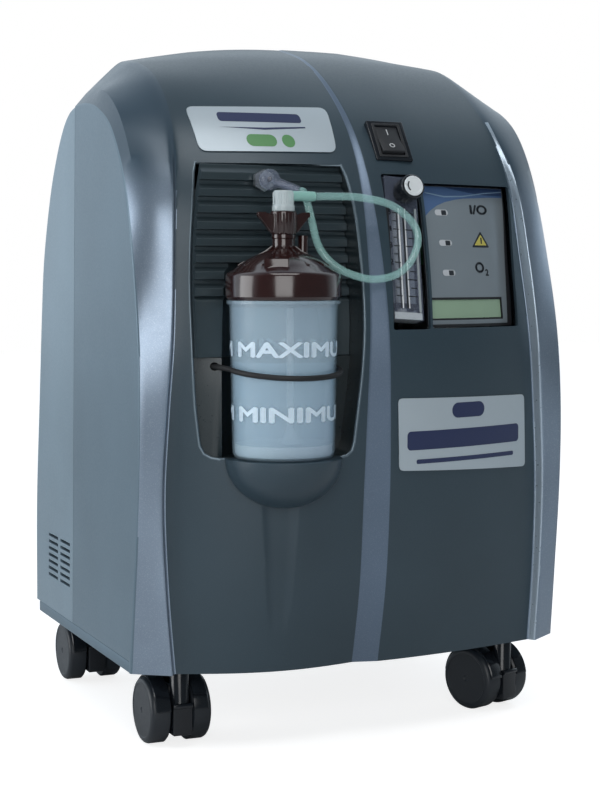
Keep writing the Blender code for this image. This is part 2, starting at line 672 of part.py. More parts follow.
def make_control_panel():
    depth = PANEL_DEPTH
    panel = front_skin("control_panel", -depth, -depth - 2, white_plastic())
    boolean(panel, outline("panel_shape", grown(PANEL_MOUTH, -0.4), 160, upright(-120)), "INTERSECT")
    boolean(panel, box("cut_display_window", (DISPLAY_X[0], -180, DISPLAY_Z[0]), (DISPLAY_X[1], -40, DISPLAY_Z[1])))
    slots = [((LIGHT_X - 3.5, -180, z - 1.6), (LIGHT_X + 3.5, -40, z + 1.6)) for z in LIGHT_Z]
    boolean(panel, boxes("cut_light_slots", slots))
    display = front_skin("display", -depth - 0.8, -depth - 4, material("lcd", (0.25, 0.4, 0.25), 0.3))
    boolean(display, box("display_shape", (DISPLAY_X[0] + GAP, -180, DISPLAY_Z[0] + GAP),
                         (DISPLAY_X[1] - GAP, -40, DISPLAY_Z[1] - GAP)), "INTERSECT")
    light = front_skin("light_pipe", -depth - 2.5, -depth - 5.5, material("lens", (0.2, 0.3, 0.2), 0.3))
    boolean(light, box("light_bar", (LIGHT_X - 4.5, -180, 334), (LIGHT_X + 4.5, -40, 389)), "INTERSECT")
    studs = front_skin("light_studs", -depth - 0.3, -depth - 4)
    shapes = [((LIGHT_X - 3.2, -180, z - 1.3), (LIGHT_X + 3.2, -40, z + 1.3)) for z in LIGHT_Z]
    boolean(studs, boxes("light_stud_shape", shapes), "INTERSECT")
    boolean(light, studs, "UNION")
    board = box("circuit_board", (48, -62, 345), (118, -60.2, 400), material("board", (0.03, 0.2, 0.08), 0.5))
    for low, high in (((54, -61, 350), (72, -44, 372)), ((80, -61, 352), (104, -50, 364)),
                      ((84, -61, 376), (110, -54, 392))):
        boolean(board, box("board_item", low, high), "UNION")


def make_switch():
    place = tilted(SWITCH_CENTRE, SWITCH_TILT)
    bezel = box("switch_bezel", (-14.8, -3.2, -17.6), (14.8, 5, 17.6), black_plastic(), matrix=place)
    boolean(bezel, front_skin("cut_bezel_seat", GAP, -30))
    boolean(bezel, box("bezel_body", (-11.8, -2.5, -14.8), (11.8, 15, 14.8), matrix=place), "UNION")
    boolean(bezel, box("cut_bezel_well", (-9.4, -10, -13.3), (9.4, 12.5, 13.3), matrix=place))
    profile = [(-3.4, 0), (-4.4, 12.3), (2, 12.6), (7, 4), (7, -4), (2, -12.6), (-4.4, -12.3)]
    pivot = place @ Matrix.Rotation(math.radians(-SWITCH_REST), 4, "X")
    rocker = outline("switch_rocker", [(y, z) for y, z in reversed(profile)], 18.0, pivot @ sideways(0),
                     black_plastic())
    return rocker


def make_flowmeter():
    place = tilted(FLOW_CENTRE, FLOW_TILT) @ Matrix.Rotation(math.radians(FLOW_LEAN), 4, "Y")
    wide, deep, tall = (side / 2 for side in FLOW_SIZE)
    body = box("flowmeter_body", (-wide, -deep, -tall), (wide - 3, deep, tall), clear_plastic(), matrix=place)
    bore = rod("cut_bore", place @ Vector((-3 * MM, 0, -48 * MM)) / MM, place @ Vector((-3 * MM, 0, 32 * MM)) / MM,
               4.2, sides=16)
    boolean(body, bore)
    vent = rod("cut_bore_vent", place @ Vector((-3 * MM, 0, -46 * MM)) / MM,
               place @ Vector((-3 * MM, 30 * MM, -46 * MM)) / MM, 2.6, sides=10)
    boolean(body, vent)
    ball("flow_ball", place @ Vector((-3 * MM, 0, -40 * MM)) / MM, 3.4, black_plastic(), rings=6)
    knob_start = place @ Vector((-0.2 * MM, (-deep - 0.6) * MM, KNOB_UP * MM)) / MM
    knob_end = place @ Vector((-0.2 * MM, (-deep - 18.6) * MM, KNOB_UP * MM)) / MM
    knob = rod("flow_knob", knob_start, knob_end, KNOB_RADIUS, black_plastic(), sides=24)
    return bevel(knob, 0.8, 1)


# ---------------------------------------------------------------- back

def make_back():
    frame = solidify(loft("filter_frame", rear_rails(2)[2:9], black_plastic()), -0.5, -3.0)
    boolean(frame, box("filter_frame_shape", (-59.5, 100, 236.5), (59.5, 220, 325.5)), "INTERSECT")
    slots = [((-52, 100, 242 + 10 * row), (52, 230, 248 + 10 * row)) for row in range(8)]
    boolean(frame, boxes("cut_filter_slots", slots))
    foam = solidify(loft("filter_foam", rear_rails(2)[2:9], rubber()), -3.3, -11)
    boolean(foam, box("filter_foam_shape", (-57, 100, 239), (57, 220, 323)), "INTERSECT")
    cup = box("handle_cup", (-59.5, 92, 404.4), (59.5, 170, 445.6), black_plastic())
    boolean(cup, solidify(loft("cut_cup_back", rear_rails(2)[2:9]), 60, -0.5))
    boolean(cup, box("cut_cup_well", (-56.5, 95, 407.4), (56.5, 200, 442.6)))
    inlet = box("power_inlet", (-121, 175.9, 83), (-73, 177, 115), black_plastic())
    boolean(inlet, box("inlet_body", (-113.5, 150, 86.5), (-80.5, 176.5, 111.5)), "UNION")
    boolean(inlet, box("cut_inlet_well", (-109.5, 158, 90.5), (-84.5, 190, 107.5)))
    for x in (-104, -97, -90):
        boolean(inlet, box("inlet_pin", (x - 1, 157, 96), (x + 1, 172, 101)), "UNION")
    rod("breaker_button", (-60, 158, 99), (-60, 176.8, 99), 5.8, black_plastic(), sides=20)


# ---------------------------------------------------------------- inside

def make_compressor():
    metal = bare_metal()
    ring = [(43.5, 50), (48, 50), (48, -50), (43.5, -50)]
    stator = turned("motor_housing", ring, (0, 60, 150), metal, steps=24, rotation=(0, math.radians(90), 0),
                    closed=True)
    boolean(stator, box("motor_feet", (-44, 30, 92), (44, 90, 112)), "UNION")
    boolean(stator, box("motor_base", (-62, 16, 92), (62, 104, 96)), "UNION")
    boolean(stator, rod("cut_stator_bore", (-60, 60, 150), (60, 60, 150), 43.5, sides=24))
    rotor = rod("motor_rotor", (-36, 60, 150), (36, 60, 150), 42, metal, sides=20)
    boolean(rotor, rod("motor_shaft", (-88, 60, 150), (88, 60, 150), 6, sides=12), "UNION")
    for side, name in ((-1, "left"), (1, "right")):
        x = sorted((side * 54, side * 106))
        head = box("cylinder_head_" + name, (x[0], 26, 118), (x[1], 94, 188), metal)
        middle = side * 80
        boolean(head, rod("head_barrel", (middle, 60, 180), (middle, 60, 222), 25, sides=16), "UNION")
        for fin in range(3):
            low = 194 + 9 * fin
            boolean(head, box("head_fin", (x[0], 30, low), (x[1], 90, low + 3)), "UNION")
        boolean(head, box("head_top", (x[0], 28, 220), (x[1], 92, 236)), "UNION")
        ends = sorted((side * 50, side * 94))
        boolean(head, rod("cut_head_bearing", (ends[0], 60, 150), (ends[1], 60, 150), 8, sides=12))
    for index, (x, y) in enumerate(((-52, 24), (52, 24), (-52, 96), (52, 96))):
        pad = [(0, 91.7), (9, 91.7), (6.5, 74), (9, 57.5), (0, 57.5)]
        turned(f"vibration_mount_{index + 1}", pad, (x, y, 0), rubber(), steps=12)


def make_cabinet_fan():
    plastic = black_plastic()
    frame = box("fan_housing", (-58, 2, 262), (58, 118, 288), plastic)
    boolean(frame, rod("cut_fan_bore", (0, 60, 250), (0, 60, 300), 54, sides=24))
    boolean(frame, box("fan_strut", (-56, 55, 262), (56, 65, 265)), "UNION")
    hub = rod("fan_rotor", (0, 60, 266), (0, 60, 286), 17, plastic, sides=16)
    for blade in range(7):
        turn = Matrix.Translation((0, 60 * MM, 276 * MM)) @ Matrix.Rotation(math.tau * blade / 7, 4, "Z")
        turn = turn @ Matrix.Rotation(math.radians(32), 4, "X")
        boolean(hub, box("fan_blade", (14, -9, -1), (51, 9, 1), matrix=turn), "UNION")
    return hub


def make_gas_parts():
    metal = bare_metal()
    bed = [(0, 338), (28, 338), (36, 330), (36, 72), (28, 64), (28, 57.5), (0, 57.5)]
    turned("sieve_bed_left", bed, (-105, -34, 0), metal, steps=18)
    turned("sieve_bed_right", bed, (105, -34, 0), metal, steps=18)
    tank = [(0, 296), (10, 296), (32, 286), (32, 68), (24, 57.5), (0, 57.5)]
    turned("product_tank", tank, (0, -40, 0), metal, steps=18)
    block = box("valve_block", (-40, -62, 312), (40, -16, 346), metal)
    for x in (-22, 22):
        boolean(block, rod("solenoid", (x, -40, 340), (x, -40, 384), 13, sides=14), "UNION")
    coil = []
    turns, per_turn = 3, 16
    for step in range(turns * per_turn + 1):
        angle = math.tau * step / per_turn
        coil.append((44 * math.cos(angle), 60 + 44 * math.sin(angle), 302 + 12 * step / per_turn))
    tube("cooling_coil", coil, 3.5, metal, resolution=2)
    canister = [(0, 352), (8, 352), (8, 342), (28, 340), (30, 336), (30, 262), (0, 262)]
    turned("intake_filter", canister, (-112, 72, 0), white_plastic(), steps=16)
    disc = [(0, 26), (4, 26), (4, 8), (22, 6), (25, 2), (25, -2), (22, -6), (4, -8), (4, -26), (0, -26)]
    turned("bacteria_filter", disc, (0, -10, 420), white_plastic(), steps=18, rotation=(0, math.radians(90), 0))


# ---------------------------------------------------------------- casters

def make_caster(name, stem_x, stem_y, swivel):
    """A twin-wheel hooded caster; the wheels trail behind the stem by CASTER_TRAIL."""
    plastic = black_plastic()
    place = Matrix.Translation((stem_x * MM, stem_y * MM, 0)) @ Matrix.Rotation(math.radians(swivel), 4, "Z")
    trail = CASTER_TRAIL
    centre = WHEEL_RADIUS

    def at(x, y, z):
        return place @ Vector((x * MM, y * MM, z * MM)) / MM

    half = WHEEL_OFFSET - WHEEL_WIDTH / 2 - 0.8
    fork = box(name + "_fork", (-half, trail - 13, 15), (half, trail + 19, 42), plastic, matrix=place)
    boolean(fork, rod(name + "_neck", at(0, 0, 30), at(0, 0, 52.4), 7, sides=12), "UNION")
    boolean(fork, rod(name + "_stem", at(0, 0, 45), at(0, 0, 66), 4.0, sides=12), "UNION")
    reach = WHEEL_OFFSET + WHEEL_WIDTH / 2 - 2.5
    hood_reach = WHEEL_OFFSET + WHEEL_WIDTH / 2 - 3
    boolean(fork, rod(name + "_axle", at(-reach, trail, centre), at(reach, trail, centre), 3.0, sides=10), "UNION")
    hood = [(HOOD_OUTER, hood_reach), (HOOD_OUTER, -hood_reach), (HOOD_INNER, -hood_reach),
            (HOOD_INNER, hood_reach)]
    shade = turned(name + "_hood", hood, (0, 0, 0), None, steps=20, closed=True)
    shade.matrix_world = place @ Matrix.Translation((0, trail * MM, centre * MM)) @ Matrix.Rotation(
        math.radians(90), 4, "Y")
    keep = box(name + "_hood_keep", (-40, trail - 40, centre - 2), (40, trail + 40, 80), matrix=place)
    boolean(shade, keep, "INTERSECT")
    boolean(fork, shade, "UNION")
    for side, label in ((-1, "left"), (1, "right")):
        middle = side * WHEEL_OFFSET
        inner = -side * WHEEL_WIDTH / 2
        outer = side * WHEEL_WIDTH / 2
        faces = sorted((inner, outer))
        rim = WHEEL_RADIUS
        if side > 0:
            profile = [(3.3, faces[0]), (3.3, faces[1] - 3), (9, faces[1] - 2), (9, faces[1]),
                       (rim - 4, faces[1]), (rim, faces[1] - 4), (rim, faces[0] + 1), (rim - 1, faces[0])]
        else:
            profile = [(3.3, faces[0] + 3), (3.3, faces[1]), (rim - 1, faces[1]), (rim, faces[1] - 1),
                       (rim, faces[0] + 4), (rim - 4, faces[0]), (9, faces[0]), (9, faces[0] + 2)]
        wheel = turned(f"{name}_wheel_{label}", profile, (0, 0, 0), black_plastic(), steps=18, closed=True)
        wheel.matrix_world = place @ Matrix.Translation((middle * MM, trail * MM, centre * MM)) @ Matrix.Rotation(
            math.radians(90), 4, "Y")


def make_casters():
    make_caster("caster_front_left", -CASTER_X, CASTER_FRONT_Y, 0)
    make_caster("caster_front_right", CASTER_X, CASTER_FRONT_Y, 18)
    make_caster("caster_rear_left", -CASTER_X, CASTER_REAR_Y, 0)
    make_caster("caster_rear_right", CASTER_X, CASTER_REAR_Y, 0)


def build():
    clear_scene()
    make_collections()
    make_front_cover()
    make_rear_cover()
    make_base_tray()
    make_recess_liner()
    make_louvre_panel()
    make_bottle_shelf()
    make_plates()
    make_bottle()
    make_wing_nut()
    make_hose_parts()
    make_strap()
    make_control_panel()
    make_switch()
    make_flowmeter()
    make_back()
    make_compressor()
    make_cabinet_fan()
    make_gas_parts()
    make_casters()


build()
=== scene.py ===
"""Oxygen concentrator on casters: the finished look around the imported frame."""

import math

import bmesh
import bpy
from mathutils import Matrix, Vector
from mathutils.bvhtree import BVHTree


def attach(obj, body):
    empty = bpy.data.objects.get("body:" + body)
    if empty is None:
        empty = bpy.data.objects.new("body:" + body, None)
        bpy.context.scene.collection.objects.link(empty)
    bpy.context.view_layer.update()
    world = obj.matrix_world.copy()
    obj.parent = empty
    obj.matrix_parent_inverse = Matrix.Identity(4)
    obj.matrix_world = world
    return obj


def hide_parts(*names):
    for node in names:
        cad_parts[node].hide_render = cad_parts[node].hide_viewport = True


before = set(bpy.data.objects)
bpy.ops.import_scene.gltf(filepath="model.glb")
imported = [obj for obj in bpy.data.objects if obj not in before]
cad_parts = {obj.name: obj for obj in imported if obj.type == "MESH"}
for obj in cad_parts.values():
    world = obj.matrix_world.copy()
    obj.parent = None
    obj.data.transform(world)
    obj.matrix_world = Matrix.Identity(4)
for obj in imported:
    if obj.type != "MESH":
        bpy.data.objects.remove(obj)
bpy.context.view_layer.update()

MM = 0.001
GAP = 0.3
WALL = 3.0
BODY_BOTTOM, LIP_TOP, LIP_FRONT_Y = 57.5, 66.0, -86.0
SEAM_Y, SEAM_GAP, TRIM = 59.0, 0.5, 3.0
SIDE_X_BOTTOM, SIDE_TAPER = 172.3, 0.01425

# Front rails as (y, z) at eleven stations, from below the cover's lower edge to the seam.
SIDE_CREASE = [(-87, 48), (-95, 115), (-102, 180), (-104, 240), (-99, 295), (-85, 350),
               (-66, 402), (-35, 441), (-2, 458), (30, 465), (62, 466.5)]
CHEEK_EDGE = [(-106, 48), (-105.5, 115), (-105, 180), (-106.5, 240), (-107.5, 293), (-100.5, 350),
              (-88, 405), (-61, 447), (-22, 480), (20, 497), (62, 503)]
CHEEK_EDGE_X = [146, 151, 153, 150, 146, 142, 138, 133, 131, 131, 131]
CENTRE_RIDGE = [(-119, 48), (-134, 115), (-140.5, 180), (-141.5, 240), (-139, 297), (-127, 350),
                (-106, 403), (-77, 445), (-35, 480), (10, 504), (62, 519)]
# Depth of the step beside each cheek edge.
CHEEK_STEP = [5.5, 6, 6.5, 7, 8, 9, 6.5, 2, 0.2, 0.2, 0.2]
# The right side is fuller than the left and its crown higher. Both are fitted to the photo's outline.
RIGHT_FULLNESS = [1.7, 1.7, 1.7, 1.7, 1.7, 1.7, 1.9, 2.3, 3.0, 3.6, 3.6]
CROWN_LEAN, CROWN_FROM, CROWN_OVER = 6.0, 470, 33
SHOULDER_BULGE = [0, 0, 0, 0, 0, 2, 6, 12, 13, 5, 1]
KEEL_BULGE = [9, 8, 6, 4, 2, 0, 0, 0, 0, 0, 0]
RIDGE_X = 5.0
RIDGE_BAND = [18, 18, 18, 16, 13, 9.5, 6, 4, 3, 2, 2]
RIDGE_SLOPE = 0.25
CHEEK_BAND_WIDTH = 3.0
# Top of the painted highlight along the inner cheek edges.
PAINTED_HIGHLIGHT_EDGE_TOP = 455
SOFTEN_FROM, SOFTEN_OVER, SOFTEN_TIMES = 385, 75, 16

# Rear rails as (y, z) at ten stations, from the tray up to the seam.
REAR_SIDE = [(169, 64), (170.5, 150), (163, 234), (157, 300), (150, 350), (132, 399), (113, 430),
             (94, 451), (76, 462), (56, 466)]
REAR_CORNER = [(174, 64), (175.5, 150), (170, 234), (164, 300), (157.5, 350), (143, 402), (124, 441),
               (103, 470), (81, 491), (56, 503)]
REAR_CORNER_X = [159, 159, 157, 155, 152, 147, 142, 137, 133, 131]
REAR_CENTRE = [(175, 64), (176, 150), (171.5, 234), (166, 300), (160, 352), (147, 405), (129, 448),
               (108, 480), (84, 504), (56, 519)]

# Humidifier bottle and its recess
BOTTLE_X, BOTTLE_Y = -74.4, -134.0
RECESS_FLOOR, RECESS_TOP = 210.7, 415.5
RECESS_BACK_Y, LOWER_WALL_Y, LOWER_WALL_TOP = -89.0, -116.0, 280.0
RECESS_LEFT = [(-119.5, 415.5), (-123.5, 390), (-127, 362), (-130, 325), (-130.7, 285), (-129.8, 250),
               (-128, 226)]
RECESS_RIGHT = [(-22, 226), (-19, 248), (-16.5, 268), (-13.5, 300), (-11.7, 344), (-10.9, 386),
                (-13.2, 415.5)]
NEST_RADIUS, NEST_TOP = 43.0, 346.0
LOUVRE_PITCH, LOUVRE_DEPTH = 11.6, 7.0
PANEL_TOP_Y, PANEL_LEAN = -95.0, 0.15
JAR_BOTTOM, JAR_TOP = 211.0, 320.0
JAR_R_BOTTOM, JAR_R_TOP, JAR_FLANGE = 35.6, 37.6, 39.4
WATER_LEVEL = 278.0
LID_R, LID_CONE_TOP, NECK_TOP = 40.0, 353.5, 365.0
NUT_TOP, ADAPTOR_TOP = 381.0, 395.2
HOSE_RADIUS = 2.75
OUTLET = Vector((-75.5, -112.0, 403.8))
ELBOW_END = Vector((-58.6, -124.5, 396.0))
STRAP_RADIUS = 1.9

# Controls on the right of the front
SWITCH_CENTRE, SWITCH_TILT, SWITCH_REST = Vector((30.0, -84.7, 434.4)), 33.0, 8.0
FLOW_CENTRE, FLOW_TILT, FLOW_LEAN = Vector((28.0, -109.5, 354.5)), 15.0, 3.8
FLOW_SIZE = (29.0, 18.0, 107.0)
FLOW_MOUTH = [(15.5, 410.5), (8.5, 298.5), (40.0, 298.5), (46.5, 410.5)]
KNOB_UP, KNOB_RADIUS = 41.0, 9.2
PANEL_MOUTH = [(48.5, 404.5), (42.0, 299.0), (130.0, 299.0), (133.2, 404.5)]
PANEL_DEPTH = 8.0
DISPLAY_X, DISPLAY_Z = (46.5, 119.0), (305.5, 319.5)
LIGHT_X, LIGHT_Z = 68.5, (383.5, 361.0, 339.0)
UPPER_PLATE = [(-14.8, 425.8), (-9.6, 460.8), (-117.0, 458.4), (-115.0, 424.8)]
LOWER_PLATE = [(136.5, 192.6), (134.9, 247.4), (10.5, 250.0), (11.6, 198.4)]

# Casters
CASTER_X, CASTER_FRONT_Y, CASTER_REAR_Y = 133.0, -80.0, 132.8
CASTER_TRAIL = 17.0
CASTER_SWIVELS = {"caster_front_right": 18}
WHEEL_RADIUS, WHEEL_WIDTH, WHEEL_OFFSET = 24.0, 15.0, 15.5
HOOD_INNER, HOOD_OUTER = 25.0, 27.0


# ---------------------------------------------------------------- node helpers

def ramp(tree, value, low, high, start=0.3, end=0.7):
    """A colour ramp between two places of a value."""
    node = tree.nodes.new("ShaderNodeValToRGB")
    node.color_ramp.elements[0].position = start
    node.color_ramp.elements[0].color = (*low, 1)
    node.color_ramp.elements[1].position = end
    node.color_ramp.elements[1].color = (*high, 1)
    tree.links.new(value, node.inputs["Fac"])
    return node.outputs["Color"]


def blend(tree, kind, first, second):
    """Two colours added or multiplied in full."""
    node = tree.nodes.new("ShaderNodeMix")
    node.data_type = "RGBA"
    node.blend_type = kind
    node.inputs["Factor"].default_value = 1.0
    tree.links.new(first, node.inputs["A"])
    tree.links.new(second, node.inputs["B"])
    return node.outputs["Result"]


# ---------------------------------------------------------------- camera, light and floor

def make_camera():
    data = bpy.data.cameras.new("camera")
    data.sensor_width = 36
    data.lens = 77.0
    data.clip_start = 0.05
    camera = bpy.data.objects.new("camera", data)
    camera.location = (-0.52834, -1.21022, 0.33647)
    camera.rotation_euler = (math.radians(85.98), 0, math.radians(-23.43))
    bpy.context.scene.collection.objects.link(camera)
    bpy.context.scene.camera = camera


def area_light(name, place, target, size, power):
    data = bpy.data.lights.new(name, "AREA")
    data.shape = "RECTANGLE"
    data.size, data.size_y = size
    data.energy = power
    lamp = bpy.data.objects.new(name, data)
    lamp.location = place
    lamp.rotation_euler = (Vector(target) - Vector(place)).to_track_quat("-Z", "Y").to_euler()
    bpy.context.scene.collection.objects.link(lamp)


def make_studio():
    """Soft studio light, with a plain white backdrop that only the camera sees."""
    scene = bpy.context.scene
    scene.view_settings.view_transform = "Standard"
    world = bpy.data.worlds.new("studio")
    scene.world = world
    world.use_nodes = True
    nodes, links = world.node_tree.nodes, world.node_tree.links
    nodes.clear()
    out = nodes.new("ShaderNodeOutputWorld")
    backdrop = nodes.new("ShaderNodeBackground")
    backdrop.inputs["Color"].default_value = (1, 1, 1, 1)
    backdrop.inputs["Strength"].default_value = 1.0
    around = nodes.new("ShaderNodeBackground")
    around.inputs["Strength"].default_value = 1.0
    coords = nodes.new("ShaderNodeTexCoord")
    split = nodes.new("ShaderNodeSeparateXYZ")
    links.new(coords.outputs["Generated"], split.inputs[0])
    shares = {}
    for axis in ("Y", "Z"):
        scaled = nodes.new("ShaderNodeMapRange")
        scaled.inputs["From Min"].default_value = -1
        scaled.inputs["From Max"].default_value = 1
        links.new(split.outputs[axis], scaled.inputs["Value"])
        shares[axis] = scaled.outputs["Result"]
    behind = ramp(world.node_tree, shares["Y"], (0.10, 0.125, 0.14), (0.88, 1.0, 1.1), 0.35, 0.66)
    above = ramp(world.node_tree, shares["Z"], (1, 1, 1), (0.26, 0.28, 0.31), 0.90, 0.985)
    links.new(blend(world.node_tree, "MULTIPLY", behind, above), around.inputs["Color"])
    path = nodes.new("ShaderNodeLightPath")
    mix = nodes.new("ShaderNodeMixShader")
    links.new(path.outputs["Is Camera Ray"], mix.inputs[0])
    links.new(around.outputs[0], mix.inputs[1])
    links.new(backdrop.outputs[0], mix.inputs[2])
    links.new(mix.outputs[0], out.inputs["Surface"])
    area_light("near_camera", (-0.85, -2.1, 0.85), (0, 0, 0.25), (1.3, 1.1), 15)
    area_light("left", (-2.2, 0.35, 0.5), (0, 0, 0.25), (1.2, 1.5), 17)
    area_light("overhead", (-0.3, -0.9, 2.2), (0, 0, 0.35), (1.4, 1.0), 15)


def make_floor():
    """A matt floor that lights the object as pale grey and shows to the camera as near white."""
    bm = bmesh.new()
    bmesh.ops.create_grid(bm, x_segments=1, y_segments=1, size=6)
    mesh = bpy.data.meshes.new("floor")
    bm.to_mesh(mesh)
    bm.free()
    floor = bpy.data.objects.new("floor", mesh)
    floor.location = (0, 0, -0.0005)
    bpy.context.scene.collection.objects.link(floor)
    paint = finish("floor_paint", (0.66, 0.66, 0.66), 0.8, grain=40, depth=0.0, vary=0.02)
    nodes, links = paint.node_tree.nodes, paint.node_tree.links
    shader, out = nodes["Principled BSDF"], nodes["Material Output"]
    seen = nodes.new("ShaderNodeBsdfDiffuse")
    seen.inputs["Color"].default_value = (0.5, 0.5, 0.5, 1)
    white = nodes.new("ShaderNodeEmission")
    white.inputs["Color"].default_value = (0.80, 0.80, 0.80, 1)
    both = nodes.new("ShaderNodeAddShader")
    path = nodes.new("ShaderNodeLightPath")
    mix = nodes.new("ShaderNodeMixShader")
    links.new(seen.outputs[0], both.inputs[0])
    links.new(white.outputs[0], both.inputs[1])
    links.new(path.outputs["Is Camera Ray"], mix.inputs[0])
    links.new(shader.outputs[0], mix.inputs[1])
    links.new(both.outputs[0], mix.inputs[2])
    links.new(mix.outputs[0], out.inputs["Surface"])
    mesh.materials.append(paint)


# ---------------------------------------------------------------- materials

def finish(name, colour, roughness, metallic=0.0, grain=900, depth=0.02, vary=0.06, flake=0.0, alpha=1.0,
           coat=0.0, ior=1.5, streak=(1, 1, 1), painted_light_by_height=None):
    """Moulded or painted surface: cloudy colour, fine grain in roughness and bump, optional metal flake, and
    optional painted light that changes the colour and metal with height.
    """
    name = "look_" + name
    made = bpy.data.materials.get(name)
    if made:
        return made
    made = bpy.data.materials.new(name)
    made.use_nodes = True
    nodes, links = made.node_tree.nodes, made.node_tree.links
    shader = nodes["Principled BSDF"]
    shader.inputs["Metallic"].default_value = metallic
    shader.inputs["Alpha"].default_value = alpha
    shader.inputs["Coat Weight"].default_value = coat
    shader.inputs["Coat Roughness"].default_value = 0.12
    shader.inputs["IOR"].default_value = ior
    coords = nodes.new("ShaderNodeTexCoord")
    mapping = nodes.new("ShaderNodeMapping")
    mapping.inputs["Scale"].default_value = streak
    links.new(coords.outputs["Object"], mapping.inputs["Vector"])

    def noise(scale, detail):
        node = nodes.new("ShaderNodeTexNoise")
        node.inputs["Scale"].default_value = scale
        node.inputs["Detail"].default_value = detail
        links.new(mapping.outputs["Vector"], node.inputs["Vector"])
        return node.outputs["Fac"]

    cloud = noise(14, 4)
    darker, lighter = [c * (1 - vary) for c in colour], [min(c * (1 + vary), 1) for c in colour]
    base = ramp(made.node_tree, cloud, darker, lighter)
    fine = noise(grain, 3)
    if flake:
        bright = ramp(made.node_tree, fine, (0, 0, 0), (flake, flake, flake), 0.52, 0.72)
        base = blend(made.node_tree, "ADD", base, bright)
    # Painted light by height: the base colour below one height gives way to a darker target colour and metal
    # above another.
    if painted_light_by_height:
        low, high, target, dull = painted_light_by_height
        height = nodes.new("ShaderNodeSeparateXYZ")
        links.new(coords.outputs["Object"], height.inputs[0])
        level = nodes.new("ShaderNodeMapRange")
        level.interpolation_type = "SMOOTHSTEP"
        level.inputs["From Min"].default_value = low
        level.inputs["From Max"].default_value = high
        links.new(height.outputs["Z"], level.inputs["Value"])
        over = nodes.new("ShaderNodeMix")
        over.data_type = "RGBA"
        over.inputs["B"].default_value = (*target, 1)
        links.new(level.outputs["Result"], over.inputs["Factor"])
        links.new(base, over.inputs["A"])
        base = over.outputs["Result"]
        metal = nodes.new("ShaderNodeMapRange")
        metal.inputs["To Min"].default_value = metallic
        metal.inputs["To Max"].default_value = dull
        links.new(level.outputs["Result"], metal.inputs["Value"])
        links.new(metal.outputs["Result"], shader.inputs["Metallic"])
    links.new(base, shader.inputs["Base Color"])
    rough = nodes.new("ShaderNodeMapRange")
    rough.inputs["To Min"].default_value = max(roughness - 0.07, 0.02)
    rough.inputs["To Max"].default_value = min(roughness + 0.07, 1)
    links.new(noise(grain * 0.35, 2), rough.inputs["Value"])
    links.new(rough.outputs["Result"], shader.inputs["Roughness"])
    if depth:
        bump = nodes.new("ShaderNodeBump")
        bump.inputs["Strength"].default_value = min(depth * 12, 1)
        bump.inputs["Distance"].default_value = depth * MM
        links.new(fine, bump.inputs["Height"])
        links.new(bump.outputs["Normal"], shader.inputs["Normal"])
    return made


def slate():
    return finish("slate", (0.034, 0.057, 0.075), 0.36, metallic=0.12, grain=1600, depth=0.01, flake=0.01)


# Ridge facets in a lighter, more metallic copy of the slate: painted light falling on them from the left.
def painted_light_ridge():
    return finish("painted_light_ridge", (0.125, 0.17, 0.235), 0.34, metallic=0.5, grain=1500, depth=0.01, flake=0.04)


# Cheek strips in a bright metallic copy of the slate up to about 368 mm, fading to dark slate by 425 mm: a
# painted highlight, the reflection of a soft light at the left.
def painted_highlight_cheek():
    return finish("painted_highlight_cheek", (0.26, 0.32, 0.40), 0.32, metallic=0.7, grain=1300, depth=0.003, vary=0.09,
                  flake=0.08, painted_light_by_height=(0.368, 0.425, (0.042, 0.07, 0.098), 0.2))


# A lighter copy of the slate for the rounded rims of openings: a painted highlight along their edges.
def painted_highlight_rim():
    return finish("painted_highlight_rim", (0.13, 0.17, 0.20), 0.32, metallic=0.6, grain=1300, depth=0.004, flake=0.01)


# A lighter copy of the slate for the sides of the front cover and for the tray: painted light, as if lit from
# the left.
def painted_light_side():
    return finish("painted_light_side", (0.115, 0.17, 0.215), 0.4, metallic=0.35, grain=1600, depth=0.01, flake=0.03)


# A still lighter copy of the slate for the rear cover: painted light.
def painted_light_rear():
    return finish("painted_light_rear", (0.19, 0.26, 0.315), 0.4, metallic=0.35, grain=1600, depth=0.01, flake=0.03)


def louvre_slate():
    return finish("louvre_slate", (0.036, 0.053, 0.062), 0.34, metallic=0.3, grain=700, depth=0.001, coat=0.1)


# A darker copy of the slate for the recess liner: painted shade inside the recess.
def painted_shade_recess():
    return finish("painted_shade_recess", (0.016, 0.025, 0.029), 0.3, metallic=0.2, grain=1300, depth=0.005,
                  flake=0.01, coat=0.15)


def gloss_black():
    return finish("gloss_black", (0.010, 0.012, 0.016), 0.16, grain=700, depth=0.004)


def satin_black():
    return finish("satin_black", (0.018, 0.019, 0.022), 0.42, grain=1500, depth=0.02)


def wheel_grey():
    return finish("wheel_grey", (0.014, 0.018, 0.024), 0.4, grain=1200, depth=0.02)


def rubber():
    return finish("rubber", (0.007, 0.007, 0.008), 0.6, grain=1400, depth=0.03)


def lid_brown():
    return finish("lid_brown", (0.022, 0.006, 0.005), 0.16, grain=300, depth=0.006, vary=0.15, coat=0.5)


def milky():
    return finish("milky_plastic", (0.62, 0.82, 1.0), 0.2, grain=400, depth=0.003, alpha=0.3, coat=0.8)


def frosted_white():
    return finish("frosted_white", (0.66, 0.74, 0.76), 0.2, grain=600, depth=0.01, alpha=0.6, coat=0.8)


def clear():
    return finish("clear_plastic", (0.26, 0.30, 0.42), 0.05, grain=120, depth=0.004, alpha=0.22, coat=1.0,
                  ior=1.6)


def hose_teal():
    return finish("hose_teal", (0.42, 0.72, 0.68), 0.1, grain=200, depth=0.002, alpha=0.36, coat=1.0)


def label_silver():
    return finish("label_silver", (0.46, 0.525, 0.57), 0.38, metallic=0.25, grain=1800, depth=0.004,
                  vary=0.03)


def panel_silver():
    return finish("panel_silver", (0.26, 0.30, 0.33), 0.34, metallic=0.35, grain=1800, depth=0.004,
                  vary=0.05)


